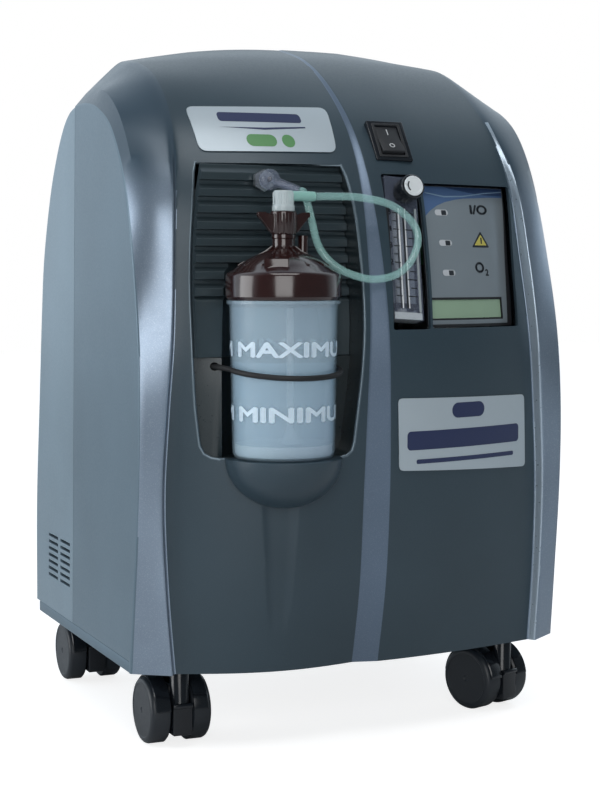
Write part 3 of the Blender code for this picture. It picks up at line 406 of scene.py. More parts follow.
def ink(name, colour):
    return finish("ink_" + name, colour, 0.4, grain=2000, depth=0.002, vary=0.04)


def bare_metal():
    return finish("bare_metal", (0.55, 0.56, 0.58), 0.3, metallic=1.0, grain=600, depth=0.01,
                  streak=(1, 1, 8))


# ---------------------------------------------------------------- mesh helpers

def link(name, mesh, material=None):
    made = bpy.data.objects.new(name, mesh)
    bpy.context.scene.collection.objects.link(made)
    if material:
        mesh.materials.append(material)
    return made


def mesh_from(bm, name):
    mesh = bpy.data.meshes.new(name)
    bm.to_mesh(mesh)
    bm.free()
    return mesh


def settle(obj):
    """Apply the modifiers and the object's own place to its mesh."""
    bpy.context.view_layer.update()
    graph = bpy.context.evaluated_depsgraph_get()
    mesh = bpy.data.meshes.new_from_object(obj.evaluated_get(graph))
    mesh.transform(obj.matrix_world)
    obj.modifiers.clear()
    old = obj.data
    obj.data = mesh
    if old.users == 0 and isinstance(old, bpy.types.Mesh):
        bpy.data.meshes.remove(old)
    obj.matrix_world = Matrix.Identity(4)
    return obj


def drop(obj):
    mesh = obj.data
    bpy.data.objects.remove(obj, do_unlink=True)
    if isinstance(mesh, bpy.types.Mesh) and mesh.users == 0:
        bpy.data.meshes.remove(mesh)


def cut(obj, cutter, operation="DIFFERENCE", solver="EXACT"):
    step = obj.modifiers.new(operation.title(), "BOOLEAN")
    step.operation = operation
    step.solver = solver
    step.object = cutter
    settle(obj)
    drop(cutter)
    return obj


def smooth(obj, angle=35.0):
    obj.data.shade_smooth()
    obj.data.set_sharp_from_angle(angle=math.radians(angle))
    return obj


def bevel(obj, width, segments=2, angle=35.0):
    step = obj.modifiers.new("Bevel", "BEVEL")
    step.width = width * MM
    step.segments = segments
    step.limit_method = "ANGLE"
    step.angle_limit = math.radians(angle)
    step.harden_normals = False
    return settle(obj)


def box(name, low, high, material=None, matrix=None):
    low, high = Vector(low), Vector(high)
    bm = bmesh.new()
    bmesh.ops.create_cube(bm, size=1.0)
    bmesh.ops.scale(bm, vec=(high - low) * MM, verts=bm.verts)
    bmesh.ops.translate(bm, vec=(high + low) * 0.5 * MM, verts=bm.verts)
    made = link(name, mesh_from(bm, name), material)
    if matrix is not None:
        made.data.transform(matrix)
    return made


def boxes(name, spans, material=None):
    bm = bmesh.new()
    for low, high in spans:
        low, high = Vector(low), Vector(high)
        new = bmesh.ops.create_cube(bm, size=1.0)["verts"]
        bmesh.ops.scale(bm, vec=(high - low) * MM, verts=new)
        bmesh.ops.translate(bm, vec=(high + low) * 0.5 * MM, verts=new)
    return link(name, mesh_from(bm, name), material)


def rod(name, start, end, radius, material=None, sides=40, end_radius=None):
    start, end = Vector(start) * MM, Vector(end) * MM
    far_radius = radius if end_radius is None else end_radius
    bm = bmesh.new()
    bmesh.ops.create_cone(bm, cap_ends=True, segments=sides, radius1=radius * MM, radius2=far_radius * MM,
                          depth=(end - start).length)
    turn = Vector((0, 0, 1)).rotation_difference(end - start).to_matrix().to_4x4()
    bmesh.ops.transform(bm, matrix=Matrix.Translation((start + end) * 0.5) @ turn, verts=bm.verts)
    return smooth(link(name, mesh_from(bm, name), material))


def ball(name, centre, radius, material=None, rings=24):
    bm = bmesh.new()
    bmesh.ops.create_uvsphere(bm, u_segments=2 * rings, v_segments=rings, radius=radius * MM)
    bmesh.ops.translate(bm, vec=Vector(centre) * MM, verts=bm.verts)
    return smooth(link(name, mesh_from(bm, name), material), 60)


def turned(name, profile, matrix, material=None, steps=64, closed=False, angle=35.0):
    """A shape turned about the local Z axis from (radius, height) points."""
    bm = bmesh.new()
    rings = []
    for r, z in profile:
        if r < 0.0001:
            rings.append([bm.verts.new((0, 0, z * MM))])
            continue
        ring = []
        for step in range(steps):
            turn = 2 * math.pi * step / steps
            ring.append(bm.verts.new((r * MM * math.cos(turn), r * MM * math.sin(turn), z * MM)))
        rings.append(ring)
    pairs = list(zip(rings, rings[1:]))
    if closed:
        pairs.append((rings[-1], rings[0]))
    for a, b in pairs:
        for i in range(steps):
            j = (i + 1) % steps
            corners = [a[i % len(a)], a[j % len(a)], b[j % len(b)], b[i % len(b)]]
            unique = list(dict.fromkeys(corners))
            if len(unique) > 2:
                bm.faces.new(unique)
    bmesh.ops.recalc_face_normals(bm, faces=bm.faces)
    made = link(name, mesh_from(bm, name), material)
    made.data.transform(matrix)
    return smooth(made, angle)


def outline(name, points, thickness, matrix, material=None):
    """A flat outline given thickness about its own plane."""
    bm = bmesh.new()
    low = [bm.verts.new((x * MM, y * MM, -thickness / 2 * MM)) for x, y in points]
    high = [bm.verts.new((x * MM, y * MM, thickness / 2 * MM)) for x, y in points]
    count = len(points)
    bm.faces.new(low)
    bm.faces.new(high)
    for i in range(count):
        j = (i + 1) % count
        bm.faces.new((low[i], low[j], high[j], high[i]))
    bmesh.ops.recalc_face_normals(bm, faces=bm.faces)
    made = link(name, mesh_from(bm, name), material)
    made.data.transform(matrix)
    return made


def tube(name, points, radius, material, resolution=6, cyclic=False):
    curve = bpy.data.curves.new(name, "CURVE")
    curve.dimensions = "3D"
    curve.bevel_depth = radius * MM
    curve.bevel_resolution = resolution
    curve.use_fill_caps = True
    line = curve.splines.new("POLY")
    line.points.add(len(points) - 1)
    for point, place in zip(line.points, points):
        point.co = (*(Vector(place) * MM), 1)
    line.use_cyclic_u = cyclic
    line.use_smooth = True
    made = bpy.data.objects.new(name, curve)
    curve.materials.append(material)
    bpy.context.scene.collection.objects.link(made)
    return made


def upright(y):
    """Outline points (x, z) stand in the plane at this y."""
    return Matrix.Translation((0, y * MM, 0)) @ Matrix.Rotation(math.radians(90), 4, "X")


def sideways(x):
    """Outline points (y, z) stand in the plane at this x."""
    upright_in_x = Matrix(((0, 0, 1, 0), (1, 0, 0, 0), (0, 1, 0, 0), (0, 0, 0, 1)))
    return Matrix.Translation((x * MM, 0, 0)) @ upright_in_x


def tilted(place, degrees):
    return Matrix.Translation(Vector(place) * MM) @ Matrix.Rotation(math.radians(-degrees), 4, "X")


def rounded_rectangle(low, high, radius, steps=6):
    centres = [(high[0] - radius, high[1] - radius, 0), (low[0] + radius, high[1] - radius, 90),
               (low[0] + radius, low[1] + radius, 180), (high[0] - radius, low[1] + radius, 270)]
    points = []
    for x, y, start in centres:
        for step in range(steps + 1):
            turn = math.radians(start + 90 * step / steps)
            points.append((x + radius * math.cos(turn), y + radius * math.sin(turn)))
    return points


def rounded_corners(points, radius, steps=5):
    """The outline with each corner replaced by a small curve."""
    count = len(points)
    made = []
    for i in range(count):
        before, here, after = (Vector(points[(i + k) % count]) for k in (-1, 0, 1))
        start = here + (before - here).normalized() * radius
        end = here + (after - here).normalized() * radius
        for step in range(steps + 1):
            t = step / steps
            made.append(tuple(start * (1 - t) ** 2 + here * 2 * t * (1 - t) + end * t * t))
    return made


def through_points(points, steps):
    points = [Vector(p) for p in points]
    padded = [points[0] * 2 - points[1], *points, points[-1] * 2 - points[-2]]
    curve = []
    for a, b, c, d in zip(padded, padded[1:], padded[2:], padded[3:]):
        for step in range(steps):
            t = step / steps
            curve.append(0.5 * (2 * b + (c - a) * t + (2 * a - 5 * b + 4 * c - d) * t * t
                                + (3 * b - a - 3 * c + d) * t ** 3))
    curve.append(points[-1])
    return curve


def shifted(points, amount):
    """The closed outline moved outwards by an amount, negative inwards."""
    area = sum(a[0] * b[1] - b[0] * a[1] for a, b in zip(points, points[1:] + points[:1]))
    sign = 1 if area > 0 else -1
    count = len(points)
    made = []
    for i in range(count):
        before, after = Vector(points[i - 1]), Vector(points[(i + 1) % count])
        along = (after - before).normalized()
        made.append((points[i][0] + sign * along.y * amount, points[i][1] - sign * along.x * amount))
    return made


# ---------------------------------------------------------------- casing surface

def side_x(z):
    return SIDE_X_BOTTOM - SIDE_TAPER * (z - 52.0)


def outward(rail, index):
    before = rail[max(index - 1, 0)]
    after = rail[min(index + 1, len(rail) - 1)]
    along = (after - before).normalized()
    return Vector((0, -along.z, along.y))


def moved_out(rail, distances, shift_x=0.0):
    moved = []
    for index, (point, distance) in enumerate(zip(rail, distances)):
        moved.append(point + outward(rail, index) * distance + Vector((shift_x, 0, 0)))
    return moved


def bowed(edge, centre, share, power, bulge):
    weights = [1 - (1 - share) ** value for value in power]
    rail = []
    for a, b, extra, weight in zip(edge, centre, bulge, weights):
        point = a.lerp(b, weight)
        point.x = a.x + (b.x - a.x) * share
        point.y -= extra * math.sin(math.pi * share)
        rail.append(point)
    return rail


def front_half(side, ridge, power, bulge, shares):
    crease = [Vector((side * side_x(z), y, z)) for y, z in SIDE_CREASE]
    cheek = [Vector((side * x, y, z)) for x, (y, z) in zip(CHEEK_EDGE_X, CHEEK_EDGE)]
    if side > 0:
        cheek[-2].z += CROWN_LEAN * 0.8
        cheek[-1].z += CROWN_LEAN
    shoulder = []
    for share in (0.25, 0.5, 0.75):
        arch = math.sin(math.pi * share)
        middle = [a.lerp(b, share) for a, b in zip(crease, cheek)]
        middle = moved_out(middle, [0.8 * b * arch for b in SHOULDER_BULGE])
        shoulder.append([p + Vector((side * 0.5 * b * arch, 0, 0)) for p, b in zip(middle, SHOULDER_BULGE)])
    inner = moved_out(cheek, [-s for s in CHEEK_STEP], -side * CHEEK_BAND_WIDTH)
    between = [bowed(inner, ridge, share, power, bulge) for share in shares]
    return crease, [*shoulder, cheek, inner, *between]


def fillet(rails, index, radius, steps=4):
    """Rails with one sharp rail replaced by a rounded edge."""
    made = []
    for before, here, after in zip(rails[index - 1], rails[index], rails[index + 1]):
        reach_a = min(radius, (before - here).length * 0.45)
        reach_b = min(radius, (after - here).length * 0.45)
        start = here + (before - here).normalized() * reach_a
        end = here + (after - here).normalized() * reach_b
        row = []
        for step in range(steps + 1):
            t = step / steps
            row.append(start * (1 - t) ** 2 + here * 2 * t * (1 - t) + end * t * t)
        made.append(row)
    return rails[:index] + [list(column) for column in zip(*made)] + rails[index + 1:]


CHANNEL_SHARES = [0.40 + 0.01 * i for i in range(26)]
LEFT_SHARES = [0.06, 0.13, 0.2, 0.27, 0.33, 0.37, *CHANNEL_SHARES, 0.7, 0.76, 0.83, 0.9, 0.96]
RIGHT_SHARES = [0.05, 0.12, 0.2, 0.3, 0.4, 0.5, 0.6, 0.7, 0.8, 0.9]


def front_rails(steps):
    right_ridge = [Vector((RIDGE_X, y, z)) for y, z in CENTRE_RIDGE]
    left_ridge = moved_out(right_ridge, [-RIDGE_SLOPE * width for width in RIDGE_BAND])
    left_ridge = [p - Vector((width, 0, 0)) for p, width in zip(left_ridge, RIDGE_BAND)]
    no_keel = [0] * len(KEEL_BULGE)
    left_crease, left = front_half(-1, left_ridge, [2.0] * len(KEEL_BULGE), KEEL_BULGE, LEFT_SHARES)
    right_crease, right = front_half(1, right_ridge, RIGHT_FULLNESS, no_keel, RIGHT_SHARES)
    rails = [left_crease, *left, left_ridge, right_ridge, *reversed(right), right_crease]
    rails = [through_points(rail, steps) for rail in rails]
    left_seam = [Vector((p.x, SEAM_Y + TRIM, p.z)) for p in rails[0]]
    right_seam = [Vector((p.x, SEAM_Y + TRIM, p.z)) for p in rails[-1]]
    rails = [left_seam, *rails, right_seam]
    ridge = 1 + len(left) + 1
    last = len(rails) - 1
    for index, radius in ((last - 1, 1.6), (last - 5, 1.8), (last - 6, 1.2), (ridge + 1, 1.6), (ridge, 1.2),
                          (6, 1.2), (5, 1.8), (1, 1.6)):
        rails = fillet(rails, index, radius)
    count = len(rails)
    for window in (range(7, 26), range(count - 25, count - 7)):
        soften_top(rails, window)
    return rails


def soften_top(rails, window):
    """Blend the cheek edges into the front towards the top of the arch."""
    for row in range(len(rails[0])):
        share = max(0.0, min(1.0, (rails[window[0]][row].z - SOFTEN_FROM) / SOFTEN_OVER))
        for _ in range(int(SOFTEN_TIMES * share)):
            column = [rail[row] for rail in rails]
            for index in window:
                rails[index][row] = column[index].lerp((column[index - 1] + column[index + 1]) / 2, 0.5)


def rear_rails(steps):
    side = [Vector((side_x(z), y, z)) for y, z in REAR_SIDE]
    corner = [Vector((x, y, z)) for x, (y, z) in zip(REAR_CORNER_X, REAR_CORNER)]
    centre = [Vector((0, y, z)) for y, z in REAR_CENTRE]
    no_keel, fullness = [0] * len(centre), [1.7] * len(centre)
    between = [bowed(corner, centre, share, fullness, no_keel)
               for share in (0.08, 0.16, 0.25, 0.35, 0.45, 0.55, 0.7, 0.85)]
    half = [through_points(rail, steps) for rail in (side, corner, *between)]
    middle = through_points(centre, steps)
    seam = [Vector((p.x, SEAM_Y - TRIM, p.z)) for p in half[0]]
    half = [seam, *half]
    mirrored = [[Vector((-p.x, p.y, p.z)) for p in rail] for rail in half]
    for index, rail in enumerate(half[2:]):
        for p in rail:
            height_share = max(0.0, min(1.0, (p.z - CROWN_FROM) / CROWN_OVER))
            p.z += CROWN_LEAN * max(0.0, 1 - index / (len(half) - 3)) * height_share
    rails = [*half, middle, *reversed(mirrored)]
    last = len(rails) - 1
    for index in (last - 1, last - 2, 2, 1):
        rails = fillet(rails, index, 4.0 if index in (2, last - 2) else 1.5)
    return rails


def loft(name, rails, material=None):
    bm = bmesh.new()
    grid = [[bm.verts.new(p * MM) for p in rail] for rail in rails]
    for left, right in zip(grid, grid[1:]):
        for row in range(len(left) - 1):
            bm.faces.new((left[row], right[row], right[row + 1], left[row + 1]))
    bmesh.ops.remove_doubles(bm, verts=bm.verts, dist=0.0001)
    bmesh.ops.dissolve_degenerate(bm, edges=bm.edges, dist=0.00005)
    return smooth(link(name, mesh_from(bm, name), material), 40)


def solidify(obj, outer, inner):
    step = obj.modifiers.new("Solidify", "SOLIDIFY")
    thickness = outer - inner
    step.thickness = thickness * MM
    step.offset = (outer + inner) / thickness
    step.use_even_offset = True
    return settle(obj)


def groove(x, z):
    """Depth of the shallow channel under the bottle shelf."""
    top, bottom = 200.0, 96.0
    if z > top or z < bottom - 12:
        return 0.0
    share = max(0.0, min(1.0, (z - bottom) / (178.0 - bottom)))
    middle = -76.0 - 0.5 * share
    half = 7.6 + 4.6 * share
    end = math.sqrt(max(0.0, 1 - max(0.0, (bottom + half - z) / half) ** 2)) if z < bottom + half else 1.0
    half *= max(end, 0.02)
    side = abs(x - middle) / half
    return 1.9 * max(0.0, 1 - side ** 4) ** 0.8 if side < 1 else 0.0


FRONT_STEPS = 8
front_surface = None


def surface_tree():
    """Search tree over the outer front surface."""
    global front_surface
    if front_surface is None:
        shape = loft("surface", front_rails(FRONT_STEPS))
        bm = bmesh.new()
        bm.from_mesh(shape.data)
        front_surface = BVHTree.FromBMesh(bm)
        bm.free()
        drop(shape)
    return front_surface


def on_front(x, z, lift=0.0):
    """The point of the front surface at this x and z, lifted along its normal, in millimetres."""
    hit, normal, _, _ = surface_tree().ray_cast(Vector((x * MM, -0.4, z * MM)), Vector((0, 1, 0)))
    if normal.y > 0:
        normal = -normal
    return hit / MM + normal * lift


def front_skin(name, outer, inner, material=None):
    """A layer of the front surface between the cheeks, at given depths."""
    rails = front_rails(4)
    return solidify(loft(name, rails[16:-16], material), outer, inner)


def drape(obj, target, lift=0.15):
    """Lay a flat mark on to the front of another piece."""
    bm = bmesh.new()
    bm.from_mesh(target.data)
    tree = BVHTree.FromBMesh(bm)
    bm.free()
    for vertex in obj.data.vertices:
        hit, _, _, _ = tree.ray_cast(Vector((vertex.co.x, -0.4, vertex.co.z)), Vector((0, 1, 0)))
        if hit:
            vertex.co.y = hit.y - lift * MM + (vertex.co.y if abs(vertex.co.y) < 0.001 else 0)
    return obj


def place(piece, body, *nodes):
    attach(piece, body)
    if nodes:
        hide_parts(*nodes)
    return piece


# ---------------------------------------------------------------- casing pieces

def recess_outline():
    """The mouth of the bottle recess as (x, z), with rounded lower corners."""
    left = [(p.x, p.y) for p in through_points(RECESS_LEFT, 4)]
    right = [(p.x, p.y) for p in through_points(RECESS_RIGHT, 4)]
    corner_left = [(-127.2, 219), (-125, 214.2), (-121, 211.6), (-116, RECESS_FLOOR)]
    corner_right = [(-33, RECESS_FLOOR), (-28, 211.6), (-24.5, 214.5), (-22.7, 220)]
    return left + corner_left + corner_right + right


def along(values, z):
    """A value of the front stations at this height."""
    stations = [point[1] for point in CHEEK_EDGE]
    for low, high, a, b in zip(stations, stations[1:], values, values[1:]):
        if z <= high:
            return a + (b - a) * max(0.0, (z - low) / (high - low))
    return values[-1]


def zone_front(cover):
    """Colour the sides, the cheek strips, the inner cheek edges and the ridge of the front cover with lighter
    copies of the slate: painted light and painted highlights.
    """
    # The inner edge of each cheek strip, up to a set height, gets a bright slate: a painted highlight.
    edge = finish("painted_edge_highlight", (0.42, 0.50, 0.58), 0.3, metallic=0.6, grain=1300, depth=0.006, flake=0.03)
    for material in (painted_light_side(), painted_highlight_cheek(), painted_light_ridge(), edge):
        cover.data.materials.append(material)
    for face in cover.data.polygons:
        x, z = face.center.x / MM, face.center.z / MM
        cheek = along(CHEEK_EDGE_X, z)
        if abs(x) > side_x(z) - 1.2:
            face.material_index = 1
        elif cheek - CHEEK_BAND_WIDTH + 0.3 < x < cheek + 0.6 and z < PAINTED_HIGHLIGHT_EDGE_TOP:
            face.material_index = 4
        elif abs(x) > cheek - CHEEK_BAND_WIDTH - 0.9:
            face.material_index = 2
        elif RIDGE_X - along(RIDGE_BAND, z) - 0.6 < x < RIDGE_X + 0.4:
            face.material_index = 3


def make_front_cover():
    cover = loft("front_cover_shell", front_rails(FRONT_STEPS), slate())
    for vertex in cover.data.vertices:
        vertex.co.y += groove(vertex.co.x / MM, vertex.co.z / MM) * MM
    zone_front(cover)
    solidify(cover, 0, -WALL)
    trims = [((-200, -200, 20), (200, 200, BODY_BOTTOM)),
             ((-200, LIP_FRONT_Y, 10), (200, 210, LIP_TOP)),
             ((-200, SEAM_Y - SEAM_GAP / 2, 5), (200, 205, 600))]
    for low, high in trims:
        cut(cover, box("trim", low, high), solver="MANIFOLD")
    cut(cover, outline("mouth", shifted(recess_outline(), 1.0), 120, upright(-130)), solver="MANIFOLD")
    cut(cover, outline("mouth", rounded_corners(PANEL_MOUTH, 2), 140, upright(-120)), solver="MANIFOLD")
    cut(cover, outline("mouth", rounded_corners(FLOW_MOUTH, 2), 140, upright(-140)), solver="MANIFOLD")
    cut(cover, box("mouth", (-12.2, -20, -15.2), (12.2, 20, 15.2), matrix=tilted(SWITCH_CENTRE, SWITCH_TILT)),
        solver="MANIFOLD")
    smooth(cover, 32)
    place(cover, "casing", "front_cover")


def make_rim(name, points, radius, sink):
    """A rounded edge around an opening in the front, coloured lighter than the slate as a painted highlight.
    """
    path = [on_front(x, z, -sink) for x, z in points]
    rim = tube(name, path, radius, painted_highlight_rim(), 5, cyclic=True)
    place(rim, "casing")


def make_rear_cover():
    cover = solidify(loft("rear_cover_shell", rear_rails(8), painted_light_rear()), 0, -WALL)
    cut(cover, box("trim", (-200, -100, 10), (200, 250, LIP_TOP)), solver="MANIFOLD")
    cut(cover, box("trim", (-200, -105, 5), (200, SEAM_Y + SEAM_GAP / 2, 600)), solver="MANIFOLD")
    slots = []
    for side in (-1, 1):
        x = sorted((side * 150, side * 190))
        for y, z_top in ((103, 126), (68, 126)):
            for row in range(7):
                z = z_top - 5.4 * row
                slots.append(((x[0], y, z - 1.2), (x[1], y + 28, z + 1.2)))
    cut(cover, boxes("vents", slots), solver="MANIFOLD")
    for low, high in (((-60, 100, 236), (60, 220, 326)), ((-60, 60, 404), (60, 240, 446)),
                      ((-114, 130, 86), (-80, 230, 112))):
        cut(cover, box("mouth", low, high), solver="MANIFOLD")
    cut(cover, rod("mouth", (-60, 130, 99), (-60, 230, 99), 6.4), solver="MANIFOLD")
    smooth(cover, 32)
    place(cover, "casing", "rear_cover")


def make_tray():
    half = [(LIP_FRONT_Y + GAP, -172), (160, -172), (168, -166), (173.5, -155)]
    ring = [(x, y) for y, x in half] + [(-x, y) for y, x in reversed(half)]
    nose = [(166, LIP_FRONT_Y + GAP), (158, -90), (138, -97), (90, -107), (40, -112)]
    ring += nose + [(-x, y) for x, y in reversed(nose)]
    flat = Matrix.Translation((0, 0, (LIP_TOP + BODY_BOTTOM - GAP) / 2 * MM))
    tray = outline("tray_shell", ring, LIP_TOP - BODY_BOTTOM - GAP, flat, painted_light_side())
    well = [(x * 0.978, y * 0.97 + 1) for x, y in ring]
    cut(tray, outline("well", well, 20, Matrix.Translation((0, 0, (BODY_BOTTOM + 12) * MM))))
    bevel(tray, 0.6, 2, 60)
    smooth(tray, 30)
    place(tray, "casing", "base_tray")


def bottle_nest(floor):
    """The upright round hollow behind the bottle."""
    return rod("nest", (BOTTLE_X, BOTTLE_Y, floor), (BOTTLE_X, BOTTLE_Y, NEST_TOP), NEST_RADIUS, sides=96)


def make_recess():
    wall = 3.2
    mouth = recess_outline()
    front, back = -140, RECESS_BACK_Y + wall
    liner = outline("recess_wall", shifted(mouth, wall), back - front, upright((front + back) / 2),
                    painted_shade_recess())
    cut(liner, front_skin("liner_front", 70, -WALL + 1.2))
    room = outline("room", mouth, 160, upright(RECESS_BACK_Y - 80))
    cut(room, box("lower_wall", (-200, LOWER_WALL_Y, 150), (50, 0, LOWER_WALL_TOP)))
    cut(room, bottle_nest(RECESS_FLOOR + 0.1), "UNION")
    cut(liner, room)
    for x in (BOTTLE_X - NEST_RADIUS, BOTTLE_X + NEST_RADIUS):
        cut(liner, rod("strap_hole", (x, -150, 274), (x, -60, 274), STRAP_RADIUS + 1))
    cut(liner, rod("outlet_hole", (OUTLET.x, -120, OUTLET.z), (OUTLET.x, -60, OUTLET.z), 4.8))
    smooth(liner, 35)
    place(liner, "casing", "recess_liner")


def make_louvres():
    top, bottom = RECESS_TOP - GAP, LOWER_WALL_TOP + GAP

    def front(z):
        return PANEL_TOP_Y - PANEL_LEAN * (RECESS_TOP - z)

    points = [(RECESS_BACK_Y - GAP, top), (front(top) + LOUVRE_DEPTH * 0.6, top)]
    z = top - 3
    while z > 322:
        points += [(front(z) + LOUVRE_DEPTH * 0.6, z), (front(z - 4), z - 3),
                   (front(z - 8.4), z - LOUVRE_PITCH + 3.2)]
        z -= LOUVRE_PITCH
        points.append((front(z) + LOUVRE_DEPTH * 0.6, z + 3.2))
    points += [(front(z), z), (front(bottom), bottom), (RECESS_BACK_Y - GAP, bottom)]
    panel = outline("louvres", points, 130, sideways(-70), louvre_slate())
    bevel(panel, 0.7, 3, 30)
    cut(panel, outline("keep", shifted(recess_outline(), -GAP), 160, upright(-130)), "INTERSECT")
    cut(panel, bottle_nest(RECESS_FLOOR))
    cut(panel, rod("hole", (OUTLET.x, -120, OUTLET.z), (OUTLET.x, -60, OUTLET.z), 4.8))
    smooth(panel, 30)
    place(panel, "casing", "louvre_panel")


def make_shelf():
    bm = bmesh.new()
    bmesh.ops.create_uvsphere(bm, u_segments=96, v_segments=48, radius=1.0)
    bmesh.ops.scale(bm, vec=Vector((40.5, 42.5, 35)) * MM, verts=bm.verts)
    bmesh.ops.translate(bm, vec=Vector((BOTTLE_X, BOTTLE_Y, RECESS_FLOOR)) * MM, verts=bm.verts)
    shelf = link("shelf_bowl", mesh_from(bm, "shelf_bowl"), slate())
    cut(shelf, box("top", (-200, -220, RECESS_FLOOR), (50, 0, 300)))
    cut(shelf, front_skin("back", GAP, -70))
    bevel(shelf, 1.2, 3, 50)
    smooth(shelf, 40)
    place(shelf, "casing", "bottle_shelf")


def plate(name, points, radius, node):
    made = front_skin(name, 1.0, GAP, label_silver())
    cut(made, outline("keep", rounded_corners(points, radius), 220, upright(-110)), "INTERSECT")
    smooth(made, 30)
    return place(made, "casing", node)


def printed(name, points, level, material):
    """A thin printed shape on a layer of the front."""
    mark = front_skin(name, level + 0.12, level - 0.2, material)
    cut(mark, outline("keep", points, 220, upright(-110)), "INTERSECT")
    smooth(mark, 30)
    return place(mark, "casing")


def make_plates():
    plate("upper_label", UPPER_PLATE, 6, "upper_plate")
    plate("lower_label", LOWER_PLATE, 4, "lower_plate")
    navy, green = ink("navy", (0.02, 0.03, 0.09)), ink("green", (0.09, 0.26, 0.09))
    printed("upper_mark_block", rounded_rectangle((-96, 447.5), (-34, 454.5), 2.5), 1.0, navy)
    underline = [(-97, 443.2), (-64, 441.6), (-33, 443.6), (-33, 444.6), (-64, 443.2)]
    printed("upper_mark_line", underline, 1.0, navy)
    printed("upper_mark_oval", rounded_rectangle((-80, 429), (-58, 438), 4.4), 1.0, green)
    printed("upper_mark_ring", rounded_rectangle((-54, 428.6), (-44.6, 438.2), 4.6), 1.0, green)
    printed("lower_mark_oval", rounded_rectangle((58, 234), (90, 245), 5.4), 1.0, navy)
    printed("lower_mark_block", rounded_rectangle((18, 212.5), (128, 226), 3), 1.0, navy)
    printed("lower_mark_line", rounded_rectangle((26, 202.5), (122, 205.7), 1.2), 1.0, navy)


# ---------------------------------------------------------------- bottle

def on_axis(x=BOTTLE_X, y=BOTTLE_Y):
    return Matrix.Translation((x * MM, y * MM, 0))


def jar_radius(z):
    return JAR_R_BOTTOM + (JAR_R_TOP - JAR_R_BOTTOM) * (z - 216) / (JAR_TOP - 216)


def lettering(name, text, size, weight=0.02):
    """Flat letters as a mesh in the x, y plane, in metres, thickened by shifted copies."""
    data = bpy.data.curves.new(name, "FONT")
    data.body = text
    data.align_x = "CENTER"
    data.align_y = "CENTER"
    flat = bpy.data.objects.new(name, data)
    bpy.context.scene.collection.objects.link(flat)
    bpy.context.view_layer.update()
    mesh = bpy.data.meshes.new_from_object(flat.evaluated_get(bpy.context.evaluated_depsgraph_get()))
    bpy.data.objects.remove(flat, do_unlink=True)
    bm = bmesh.new()
    bm.from_mesh(mesh)
    bpy.data.meshes.remove(mesh)
    letters = [*bm.verts, *bm.edges, *bm.faces]
    for shift in ((-weight, 0, 0), (weight, 0, 0), (0, weight, 0), (0, -weight, 0)):
        copied = bmesh.ops.duplicate(bm, geom=letters)
        corners = [part for part in copied["geom"] if isinstance(part, bmesh.types.BMVert)]
        bmesh.ops.translate(bm, vec=shift, verts=corners)
    bmesh.ops.scale(bm, vec=Vector((size, size, size)) * MM, verts=bm.verts)
    bmesh.ops.triangulate(bm, faces=bm.faces)
    for _ in range(2):
        long_edges = [edge for edge in bm.edges if edge.calc_length() > 0.0025]
        if long_edges:
            bmesh.ops.subdivide_edges(bm, edges=long_edges, cuts=1)
            bmesh.ops.triangulate(bm, faces=bm.faces)
    return bm


def wrapped(name, text, size, z, material, start, span):
    """Raised lettering around the jar, from one angle over a span in degrees."""
    bm = lettering(name, text, size, 0.035)
    low = min(vertex.co.x for vertex in bm.verts)
    width = max(vertex.co.x for vertex in bm.verts) - low
    for vertex in bm.verts:
        turn = math.radians(start + span * (vertex.co.x - low) / width)
        height = z + vertex.co.y / MM
        radius = jar_radius(height) + 0.15
        vertex.co = Vector((BOTTLE_X + radius * math.sin(turn), BOTTLE_Y - radius * math.cos(turn),
                            height)) * MM
    return place(link(name, mesh_from(bm, name), material), "casing")


